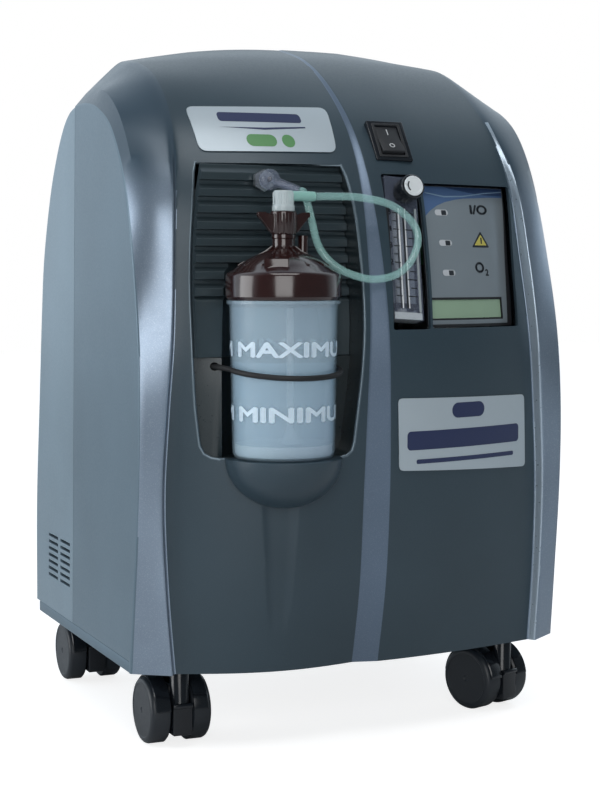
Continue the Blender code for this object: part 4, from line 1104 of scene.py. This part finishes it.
def make_bottle():
    jar = [(0, 213), (33.2, 213), (34.2, 215), (36.0, 316), (36.2, JAR_TOP), (39.0, JAR_TOP),
           (JAR_FLANGE, 319.6), (JAR_FLANGE, 317.6), (39.0, 317.2), (37.9, 317.0), (37.45, 316),
           (JAR_R_BOTTOM, 216), (35.0, 213.2), (33.8, 211.6), (32.4, JAR_BOTTOM), (0, JAR_BOTTOM)]
    place(turned("jar_wall", jar, on_axis(), milky(), 96), "casing", "bottle_jar")
    water = [(0, 217.3), (22, 217.8), (31, 219.3), (34.1, 221.3), (35.3, WATER_LEVEL), (0, WATER_LEVEL)]
    blue = finish("water", (0.38, 0.60, 0.80), 0.05, grain=60, depth=0.0, alpha=0.34)
    place(turned("jar_water", water, on_axis(), blue, 96), "casing")
    base = [(0, 213.3), (33.0, 213.3), (33.7, 215), (34.0, 221), (31, 219), (22, 217.5), (0, 217)]
    pale = finish("base_white", (0.80, 0.90, 1.0), 0.3, grain=500, depth=0.002, alpha=0.55)
    place(turned("jar_base", base, on_axis(), pale, 96), "casing")
    print_white = finish("jar_print", (0.66, 0.79, 0.90), 0.4, grain=900, depth=0.004)
    for word, z in (("MAXIMUM", 286.5), ("MINIMUM", 242.5)):
        for half, start in (("front", -79.0), ("back", 101.0)):
            wrapped(f"jar_mark_{word.lower()}_{half}", word, 14.0, z, print_white, start, 166)
    lid = [(0, NUT_TOP - 0.5), (3.8, NUT_TOP - 0.5), (3.8, NECK_TOP), (8.2, NECK_TOP), (8.2, 362.6),
           (7.7, 362.0), (7.7, 357), (8.4, 355.2), (11, LID_CONE_TOP + 0.6), (15, 352.4), (20, 350.6),
           (26, 347.4), (31, 343.9), (35.5, 340.6), (38.0, 339.2), (39.2, 338.3), (LID_R, 336.6),
           (LID_R, 322.4), (39.2, 321.2),
           (38.8, JAR_TOP + GAP), (35.4, JAR_TOP + GAP), (35.2, 315), (0, 315)]
    cap = turned("lid_dome", lid, on_axis(), lid_brown(), 96, angle=28)
    for turn in range(0, 360, 30):
        top = [(8, 357.5), (13, 353.8), (31.5, 344.6), (31.5, 338), (8, 338)]
        fin = outline("fin", top, 1.6, Matrix.Rotation(math.radians(90), 4, "X"))
        fin.data.transform(on_axis() @ Matrix.Rotation(math.radians(turn + 10), 4, "Z"))
        cut(cap, fin, "UNION")
    valve = box("valve", (-8.5, -6, 335), (8.5, 6, 348.6))
    bevel(valve, 0.8, 2)
    valve.data.transform(on_axis(-88.5, -156.5) @ Matrix.Rotation(math.radians(-26), 4, "Z"))
    cut(cap, valve, "UNION")
    cut(cap, rod("post", (-58, -130, 340), (-58, -130, 364.5), 3.6, sides=32), "UNION")
    bevel(cap, 0.25, 2, 50)
    smooth(cap, 30)
    place(cap, "casing", "bottle_lid")
    dip = [(0, 314.6), (2.4, 314.6), (2.4, 232), (3.4, 230), (6.6, 222.4), (7.6, 221.6), (7.6, 220.4),
           (0, 220.4)]
    white = finish("diffuser_white", (0.82, 0.88, 0.93), 0.35, grain=600, depth=0.01, alpha=0.5)
    place(turned("diffuser", dip, on_axis(BOTTLE_X + 5), white, 32), "casing", "diffuser_tube")


def make_wing_nut():
    hub = [(4.3, NUT_TOP), (8.6, NUT_TOP), (9.2, NUT_TOP - 0.5), (9.2, 366.6), (8.6, NECK_TOP + GAP),
           (4.3, NECK_TOP + GAP)]
    nut = turned("wing_nut_hub", hub, on_axis(), lid_brown(), 64, closed=True)
    for side in (-1, 1):
        edge = [(7, 366), (10.6, 367), (13, 370.5), (17.2, 375.6), (19.3, 377.6), (19.4, 379.6),
                (18.6, 380.4), (14, 380.3), (7, 377.5)]
        wing = [(side * x, z) for x, z in edge]
        cut(nut, outline("wing", wing, 3.6, on_axis() @ Matrix.Rotation(math.radians(90), 4, "X")), "UNION")
    for turn in range(0, 360, 20):
        angle = math.radians(turn + 10)
        x, y = BOTTLE_X + 9.2 * math.cos(angle), BOTTLE_Y + 9.2 * math.sin(angle)
        if abs(math.sin(angle)) > 0.35:
            cut(nut, rod("flute", (x, y, 364), (x, y, 379), 0.55, sides=12))
    bevel(nut, 0.3, 2, 40)
    smooth(nut, 32)
    place(nut, "wing_nut", "wing_nut")


def make_hose():
    along = (ELBOW_END - OUTLET).normalized()
    route = [ELBOW_END + along * 1.0, ELBOW_END + along * 3.5, (-53.5, -127, 388), (-51.5, -131, 374),
             (-50.5, -136, 361.5), (-47.5, -140, 352.5), (-41, -144, 344.5), (-31, -147, 338.5),
             (-15, -148, 334.5), (1, -147, 336), (14.5, -144, 342), (24.5, -140, 353.5), (28, -137, 365.5),
             (22.5, -135.5, 376.5), (7, -134.5, 387), (-16, -134, 391.5), (-36, -134, 391.9),
             (-50.6, -134, 391.6)]
    path = through_points(route, 6)
    hose = tube("hose_run", path, HOSE_RADIUS, hose_teal(), 6)
    place(hose, "casing", "oxygen_hose")


def make_fittings():
    skirt = [(0, NUT_TOP + GAP), (7.9, NUT_TOP + GAP), (7.9, 384.5), (7.4, 385.2), (7.3, 393.6),
             (6.4, ADAPTOR_TOP), (0, ADAPTOR_TOP)]
    adaptor = turned("adaptor_barrel", skirt, on_axis(), frosted_white(), 64)
    for turn in range(0, 360, 15):
        angle = math.radians(turn)
        x, y = BOTTLE_X + 7.5 * math.cos(angle), BOTTLE_Y + 7.5 * math.sin(angle)
        if math.cos(angle) < 0.8:
            cut(adaptor, rod("flute", (x, y, 385.8), (x, y, 396), 0.5, sides=10))
    bevel(adaptor, 0.25, 2, 45)
    smooth(adaptor, 35)
    place(adaptor, "casing", "hose_adaptor")
    teal = finish("sleeve_teal", (0.30, 0.56, 0.50), 0.25, grain=500, depth=0.004, alpha=0.85)
    sleeve = rod("adaptor_sleeve", (BOTTLE_X + 5, BOTTLE_Y, 391.6), (-51.2, BOTTLE_Y, 391.6), 3.5, teal,
                 end_radius=3.4)
    place(sleeve, "casing")
    elbow = ball("elbow_ball", OUTLET, 7.6, clear(), 32)
    cut(elbow, rod("neck", OUTLET, (OUTLET.x, -102.9, OUTLET.z), 4.6), "UNION")
    cut(elbow, rod("arm", OUTLET, ELBOW_END, 3.6, end_radius=3.0), "UNION")
    along = (ELBOW_END - OUTLET).normalized()
    face = Vector((-0.35, -0.93, 0.1)).normalized()
    cut(elbow, rod("arm_bore", OUTLET + along * 2, ELBOW_END + along, 1.7))
    bevel(elbow, 0.3, 2, 50)
    smooth(elbow, 40)
    place(elbow, "casing", "outlet_elbow")
    stop = rod("elbow_core", OUTLET - face * 1.5, OUTLET + face * 4.5, 1.7, satin_black(), 24)
    place(stop, "casing")


def make_strap():
    reach = JAR_R_TOP + STRAP_RADIUS + 0.2
    points = [(BOTTLE_X - NEST_RADIUS, -104, 274), (BOTTLE_X - NEST_RADIUS, -118, 274)]
    for step in range(17):
        angle = math.pi * step / 16
        sag = 5 * math.sin(angle)
        points.append((BOTTLE_X - reach * math.cos(angle), BOTTLE_Y - reach * math.sin(angle), 273 - sag))
    points += [(BOTTLE_X + NEST_RADIUS, -118, 274), (BOTTLE_X + NEST_RADIUS, -104, 274)]
    strap = tube("strap_loop", through_points(points, 3), STRAP_RADIUS, rubber(), 5)
    place(strap, "casing", "bottle_strap")


# ---------------------------------------------------------------- controls

def flat_text(name, text, size, x, z, material, target, stretch=1.0, lift=0.14):
    """Letters laid on the front of another piece."""
    bm = lettering(name, text, size, 0.04)
    for vertex in bm.verts:
        vertex.co = Vector((x * MM + vertex.co.x * stretch, 0, z * MM + vertex.co.y))
    made = link(name, mesh_from(bm, name), material)
    return place(drape(made, target, lift), "casing")


def make_panel():
    depth = PANEL_DEPTH
    panel = front_skin("panel_face", -depth, -depth - 2, satin_black())
    face = shifted(rounded_corners(PANEL_MOUTH, 2), -0.4)
    cut(panel, outline("keep", face, 160, upright(-120)), "INTERSECT")
    cut(panel, box("window", (DISPLAY_X[0], -180, DISPLAY_Z[0]), (DISPLAY_X[1], -40, DISPLAY_Z[1])))
    slots = [((LIGHT_X - 3.5, -180, z - 1.6), (LIGHT_X + 3.5, -40, z + 1.6)) for z in LIGHT_Z]
    cut(panel, boxes("slots", slots))
    smooth(panel, 30)
    place(panel, "casing", "control_panel")
    sheet = [(49, 403.2), (43, 301.5), (124.6, 301.5), (131.8, 403.2)]
    label = front_skin("panel_label", 0.15 - depth, -depth - 0.3, panel_silver())
    cut(label, outline("keep", sheet, 160, upright(-120)), "INTERSECT")
    cut(label, box("window", (DISPLAY_X[0] - 1, -180, DISPLAY_Z[0] - 1),
                   (DISPLAY_X[1] + 1, -40, DISPLAY_Z[1] + 1.5)))
    cut(label, boxes("slots", slots))
    smooth(label, 30)
    place(label, "casing")
    level = 0.15 - depth
    blue, deep = ink("panel_blue", (0.07, 0.13, 0.26)), ink("panel_navy", (0.025, 0.05, 0.12))
    pale, dark = ink("panel_pale", (0.20, 0.30, 0.42)), ink("symbol_dark", (0.02, 0.024, 0.03))
    arc = [(130.9, 396.2), (116, 396.0), (101.3, 395.1), (91, 394.6), (81.8, 393.4), (72, 391.4), (64, 388.6),
           (57, 384.8), (51.8, 380.7), (48.2, 377)]
    printed("panel_sky", [(49.2, 402.9), *reversed([(131.5, 402.9), *arc])], level, blue)
    band = [(131.3, 402.8), (131.0, 397.4), (112, 397.6), (96, 399.2), (82, 401.2), (72, 402.8)]
    printed("panel_band", list(reversed(band)), level + 0.06, deep)
    streak = [(131.2, 400.9), (112, 399.4), (90, 396.6), (72, 396.0), (55, 398.6), (55, 397.7), (72, 395.0),
              (90, 395.7), (112, 398.7), (131.2, 400.3)]
    printed("panel_streak", list(reversed(streak)), level + 0.1, pale)
    flat_text("symbol_power", "I/O", 9.4, 104, 386, dark, label, 1.45)
    flat_text("symbol_oxygen", "O", 10.4, 99, 342.6, dark, label, 1.12)
    flat_text("symbol_oxygen_two", "2", 6.6, 106.4, 339.0, dark, label, 1.1)
    triangle = rounded_corners([(93.2, 358.0), (111.6, 358.0), (103.4, 370.2)], 1.4)
    printed("symbol_triangle", triangle, level, dark)
    inside = rounded_corners([(96.0, 359.6), (108.8, 359.6), (103.3, 367.6)], 0.8)
    printed("symbol_triangle_fill", inside, level + 0.06, ink("yellow", (0.52, 0.46, 0.10)))
    printed("symbol_triangle_bar", rounded_rectangle((102.7, 360.6), (104.1, 365.4), 0.6), level + 0.1, dark)
    halo = ink("light_halo", (0.50, 0.52, 0.55))
    for index, z in enumerate(LIGHT_Z):
        ring = rounded_rectangle((LIGHT_X - 7.5, z - 2.2), (LIGHT_X + 4.6, z + 2.2), 2.1)
        printed(f"light_halo_{index + 1}", ring, level + 0.12, halo)
        eye = rounded_rectangle((LIGHT_X - 1.6, z - 1.9), (LIGHT_X + 3.0, z + 1.7), 0.6)
        printed(f"light_eye_{index + 1}", eye, level + 0.2, dark)
    lcd = finish("lcd_glass", (0.29, 0.41, 0.29), 0.18, grain=200, depth=0.002, vary=0.05, coat=0.4)
    screen = front_skin("lcd_screen", -depth - 0.9, -depth - 4, lcd)
    cut(screen, box("keep", (DISPLAY_X[0] + GAP, -180, DISPLAY_Z[0] + GAP),
                    (DISPLAY_X[1] - GAP, -40, DISPLAY_Z[1] - GAP)), "INTERSECT")
    smooth(screen, 30)
    place(screen, "casing", "display")


def make_switch():
    matrix = tilted(SWITCH_CENTRE, SWITCH_TILT)
    bezel = box("switch_frame", (-14.8, -3.2, -17.6), (14.8, 5, 17.6), gloss_black(), matrix)
    cut(bezel, front_skin("seat", GAP, -30))
    cut(bezel, box("body", (-11.8, -2.5, -14.8), (11.8, 15, 14.8), matrix=matrix), "UNION")
    cut(bezel, box("well", (-9.4, -10, -13.3), (9.4, 12.5, 13.3), matrix=matrix))
    bevel(bezel, 0.6, 3, 60)
    smooth(bezel, 40)
    place(bezel, "casing", "switch_bezel")
    edge = outline("switch_inset", rounded_rectangle((-11.6, -15.2), (11.6, 15.2), 0.8), 0.8,
                   matrix @ upright(-3.4), satin_black())
    cut(edge, outline("hole", rounded_rectangle((-9.5, -13.4), (9.5, 13.4), 0.5), 4, matrix @ upright(-3.4)))
    bevel(edge, 0.25, 2, 60)
    place(edge, "casing")
    profile = [(-3.4, 0), (-4.4, 12.3), (2, 12.6), (7, 4), (7, -4), (2, -12.6), (-4.4, -12.3)]
    pivot = matrix @ Matrix.Rotation(math.radians(-SWITCH_REST), 4, "X")
    rocker = outline("rocker_cap", profile[::-1], 18.0, pivot @ sideways(0), satin_black())
    bevel(rocker, 0.5, 3, 20)
    smooth(rocker, 30)
    place(rocker, "switch_rocker", "switch_rocker")
    white = ink("switch_white", (0.55, 0.56, 0.57))
    lean = math.radians(4.65)
    upper = pivot @ Matrix.Translation((0, -4.04 * MM, 7.0 * MM)) @ Matrix.Rotation(lean, 4, "X")
    place(box("rocker_mark_on", (-0.4, -0.1, -2.6), (0.4, 0.1, 2.6), white, upper), "switch_rocker")
    lower = pivot @ Matrix.Translation((0, -4.0 * MM, -6.4 * MM)) @ Matrix.Rotation(-lean, 4, "X")
    ring = [(1.45, -0.1), (2.15, -0.1), (2.15, 0.1), (1.45, 0.1)]
    facing = lower @ Matrix.Rotation(math.radians(90), 4, "X")
    ring = turned("rocker_mark_off", ring, facing, white, 32, closed=True)
    place(ring, "switch_rocker")


def make_flowmeter():
    matrix = tilted(FLOW_CENTRE, FLOW_TILT) @ Matrix.Rotation(math.radians(FLOW_LEAN), 4, "Y")
    wide, deep, tall = (side / 2 for side in FLOW_SIZE)

    def local(x, y, z):
        return matrix @ (Vector((x, y, z)) * MM) / MM

    block = box("flow_block", (-wide, -deep, -tall), (wide - 3, deep - 8, tall), clear(), matrix)
    cut(block, rod("bore", local(-3, -3, -48), local(-3, -3, 32), 4.2))
    bevel(block, 0.8, 3, 50)
    smooth(block, 40)
    place(block, "casing", "flowmeter_body")
    silver = finish("flow_back", (0.36, 0.41, 0.44), 0.3, metallic=0.4, grain=900, depth=0.01,
                    streak=(40, 40, 2))
    back = box("flow_back", (-wide + 0.5, deep - 7.6, -tall + 0.5), (wide - 3.5, deep - 6.4, 34), silver,
               matrix)
    place(back, "casing")
    head = box("flow_head", (-wide + 0.4, -deep + 0.2, 30), (wide - 3.2, deep - 6.4, tall - 0.3),
               gloss_black(), matrix)
    place(bevel(head, 0.6, 2, 50), "casing")
    cheek = box("flow_cheek", (-wide + 0.2, -deep - 0.1, -tall + 0.2), (-wide + 2.4, deep - 8, 30),
                satin_black(), matrix)
    place(cheek, "casing")
    # A bright metallic strip just inside the block's right edge: a painted highlight of that edge.
    strip = box("flow_painted_glint", (wide - 6.2, -deep - 0.15, -tall + 6), (wide - 4.4, -deep + 0.4, 30),
                finish("painted_glint_strip", (0.75, 0.79, 0.80), 0.2, metallic=0.7, grain=900, depth=0.004), matrix)
    place(strip, "casing")
    foot = box("flow_foot", (-wide + 3.2, -deep + 0.3, -tall + 0.6), (wide - 4, deep - 8.4, -tall + 5.6),
               finish("foot_white", (0.62, 0.66, 0.66), 0.35, grain=700, depth=0.01), matrix)
    place(foot, "casing")
    plug = box("flow_plug", (-wide + 4.5, -deep + 1.2, -tall + 9), (wide - 7, deep - 8.6, -tall + 12.5),
               satin_black(), matrix)
    place(plug, "casing")
    # Thin lines on the block's face along the tube: the near-white ones are painted highlights of the glass
    # tube and the near-black ones are painted shade at its sides.
    lines = ((-6.4, 0.7, 0.02), (-4.9, 0.9, 0.85), (-1.4, 1.1, 0.02), (0.2, 0.8, 0.75))
    for index, (x, width, shade) in enumerate(lines):
        paint = finish(f"flow_tube_painted_light_{index + 1}_paint", (shade, shade, shade), 0.3, grain=900, depth=0.004)
        line = box(f"flow_tube_painted_light_{index + 1}", (x, -deep - 0.14, -45), (x + width, -deep - 0.02, 29.5), paint,
                   matrix)
        place(line, "casing")
    dark = ink("scale_black", (0.015, 0.016, 0.018))
    marks = []
    for step in range(11):
        z = -36 + step * 6.2
        long_mark = step % 2 == 0
        marks.append(((0.4 if long_mark else 2.6, -deep - 0.16, z - 0.4), (7.6, -deep - 0.03, z + 0.4)))
        left_end = -4.6 if long_mark else -6.6
        marks.append(((-9.4, -deep - 0.16, z - 0.36), (left_end, -deep - 0.03, z + 0.36)))
    scale = boxes("flow_scale", marks, dark)
    scale.data.transform(matrix)
    place(scale, "casing")
    for step in range(5):
        bm = lettering(f"flow_number_{step + 1}", str(step + 1), 6)
        mesh = mesh_from(bm, f"flow_number_{step + 1}")
        spot = Vector((-11.8, -deep - 0.1, -23.6 + 12.4 * step)) * MM
        mesh.transform(matrix @ Matrix.Translation(spot) @ Matrix.Rotation(math.radians(90), 4, "X"))
        place(link(f"flow_number_{step + 1}", mesh, dark), "casing")
    wall = [(3.0, -47.5), (4.1, -47.5), (4.1, 31.5), (3.0, 31.5)]
    pane = finish("tube_glass", (0.75, 0.8, 0.8), 0.08, grain=200, depth=0.002, alpha=0.45)
    glass = turned("flow_tube", wall, matrix @ on_axis(-3, -3), pane, 40, closed=True)
    place(glass, "casing")
    place(ball("flow_bead", local(-3, -3, -40), 3.0, gloss_black(), 20), "flow_ball", "flow_ball")
    face = matrix.to_3x3() @ Vector((0, -1, 0))
    profile = [(0, 0.6), (7.6, 0.6), (7.6, 3.4), (9.0, 4.2), (9.1, 12), (KNOB_RADIUS, 16.6), (8.8, 17.8),
               (8.2, 18.3), (0, 18.3)]
    turn = Vector((0, 0, 1)).rotation_difference(face).to_matrix().to_4x4()
    base = Matrix.Translation(local(-0.2, -deep, KNOB_UP) * MM) @ turn
    knob = turned("knob_grip", profile, base, gloss_black(), 72)
    for step in range(24):
        angle = 2 * math.pi * step / 24
        rib = rod("flute", (9.5 * math.cos(angle), 9.5 * math.sin(angle), 4.8),
                  (9.6 * math.cos(angle), 9.6 * math.sin(angle), 16.6), 0.6, sides=10)
        rib.data.transform(base)
        cut(knob, rib)
    smooth(knob, 35)
    place(knob, "flow_knob", "flow_knob")
    cap_profile = [(0, 18.0), (7.4, 18.0), (7.4, 18.7), (7.0, 19.1), (5.7, 19.15), (5.4, 18.9), (0, 18.9)]
    silver = finish("knob_silver", (0.88, 0.91, 0.92), 0.3, metallic=0.25, grain=500, depth=0.003, vary=0.03)
    place(turned("knob_cap", cap_profile, base, silver, 64), "flow_knob")
    turns = [math.radians(140 + 8 * step) for step in range(12)]
    arc = [base @ (Vector((4.6 * math.cos(angle), 4.6 * math.sin(angle), 18.95)) * MM) / MM
           for angle in turns]
    place(tube("knob_mark", arc, 0.5, gloss_black(), 3), "flow_knob")


# ---------------------------------------------------------------- casters

def make_caster(name, stem_x, stem_y, swivel):
    matrix = on_axis(stem_x, stem_y) @ Matrix.Rotation(math.radians(swivel), 4, "Z")
    trail, centre = CASTER_TRAIL, WHEEL_RADIUS
    half = WHEEL_OFFSET - WHEEL_WIDTH / 2 - 0.8
    hub = Vector((0, trail, centre)) * MM
    axle = matrix @ Matrix.Translation(hub) @ Matrix.Rotation(math.radians(90), 4, "Y")
    reach = WHEEL_OFFSET + WHEEL_WIDTH / 2 - 3
    hood = [(HOOD_OUTER - 2.2, reach), (HOOD_OUTER - 1.6, reach - 0.6), (HOOD_OUTER - 1.6, -reach + 0.6),
            (HOOD_OUTER - 2.2, -reach), (HOOD_INNER - 0.6, -reach), (HOOD_INNER - 0.6, reach)]
    fork = turned(name + "_shell", hood, axle, gloss_black(), 96, closed=True)
    cut(fork, box("keep", (-40, trail - 40, centre + 3), (40, trail + 40, 80), matrix=matrix), "INTERSECT")
    cut(fork, box("gap", (-half - 1.6, trail - 40, 0), (half + 1.6, trail, 80), matrix=matrix))
    block = [(-25, 9), (-25.4, 12), (-25.4, 29.5), (-24.4, 31), (-17, 32), (-13, 44), (17, 46), (19, 40),
             (14, 9)]
    block = [(trail + y, z) for y, z in block]
    bridge = outline("bridge", block, 2 * half, matrix @ sideways(0))
    bevel(bridge, 0.9, 3, 40)
    bar = rod("bar", (-half, trail - 24.8, 30.4), (half, trail - 24.8, 30.4), 1.9, sides=32)
    cut(bridge, moved(bar, matrix), "UNION")
    cut(fork, bridge, "UNION")
    neck = rod("neck", (0, 0, 28), (0, 0, BODY_BOTTOM + 1), 7, sides=40)
    cut(fork, moved(neck, matrix), "UNION")
    pin = rod("axle", (-reach + 0.5, trail, centre), (reach - 0.5, trail, centre), 3.0, sides=24)
    cut(fork, moved(pin, matrix), "UNION")
    bevel(fork, 0.4, 2, 50)
    smooth(fork, 35)
    place(fork, name + "_fork", name + "_fork")
    for side, label in ((-1, "left"), (1, "right")):
        outer = WHEEL_WIDTH / 2
        rim = WHEEL_RADIUS
        profile = [(3.3, -outer), (rim - 1.2, -outer), (rim, -outer + 1.2), (rim, outer - 3.2),
                   (rim - 0.7, outer - 1.6), (rim - 1.8, outer - 0.6), (rim - 3.2, outer), (rim - 4.4, outer),
                   (rim - 4.8, outer - 0.3), (2.4, outer - 0.3), (2.0, outer - 0.7), (0, outer - 0.7),
                   (0, outer - 3), (3.3, outer - 3)]
        flip = Matrix.Identity(4) if side > 0 else Matrix.Rotation(math.radians(180), 4, "X")
        seat = axle @ Matrix.Translation((0, 0, side * WHEEL_OFFSET * MM)) @ flip
        wheel = turned(f"{name}_disc_{label}", profile, seat, wheel_grey(), 96, closed=True, angle=30)
        place(wheel, f"{name}_wheel_{label}", f"{name}_wheel_{label}")


def moved(obj, matrix):
    obj.data.transform(matrix)
    return obj


def make_casters():
    for end, y in (("front", CASTER_FRONT_Y), ("rear", CASTER_REAR_Y)):
        for side, x in (("left", -CASTER_X), ("right", CASTER_X)):
            name = f"caster_{end}_{side}"
            make_caster(name, x, y, CASTER_SWIVELS.get(name, 0))


# ---------------------------------------------------------------- carried-over pieces

def dress(names, material):
    for name in names:
        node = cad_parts[name]
        for slot in node.material_slots:
            slot.material = material
        if not node.material_slots:
            node.data.materials.append(material)


def dress_frame_nodes():
    dress(["light_pipe"], finish("lens_dark", (0.03, 0.035, 0.03), 0.2, grain=300, depth=0.002))
    dress(["circuit_board"], finish("board_green", (0.02, 0.11, 0.05), 0.45, grain=800, depth=0.02))
    dress(["filter_frame", "handle_cup", "power_inlet"], satin_black())
    foam = finish("filter_foam", (0.02, 0.02, 0.022), 0.95, grain=1800, depth=0.3, vary=0.3)
    dress(["filter_foam"], foam)
    dress(["breaker_button"], finish("button_white", (0.7, 0.7, 0.68), 0.4, grain=900, depth=0.01))
    dress(["motor_housing", "motor_rotor", "product_tank", "sieve_bed_left", "sieve_bed_right",
           "outlet_fitting"], bare_metal())
    dress(["cylinder_head_left", "cylinder_head_right", "valve_block"],
          finish("cast_metal", (0.42, 0.43, 0.45), 0.5, metallic=0.9, grain=700, depth=0.06, vary=0.12))
    dress(["cooling_coil"], finish("coil_metal", (0.62, 0.5, 0.38), 0.3, metallic=1.0, grain=500, depth=0.01))
    dress([f"vibration_mount_{i}" for i in range(1, 5)], rubber())
    dress(["fan_housing", "fan_rotor"], satin_black())
    dress(["intake_filter", "bacteria_filter"],
          finish("filter_case", (0.75, 0.77, 0.76), 0.4, grain=900, depth=0.01))


make_camera()
make_hose()
make_studio()
make_floor()
make_front_cover()
make_rim("recess_rim", shifted(recess_outline(), 1.4), 1.4, 1.25)
make_rear_cover()
make_tray()
make_recess()
make_louvres()
make_shelf()
make_plates()
make_bottle()
make_wing_nut()
make_fittings()
make_strap()
make_panel()
make_switch()
make_flowmeter()
make_casters()
dress_frame_nodes()
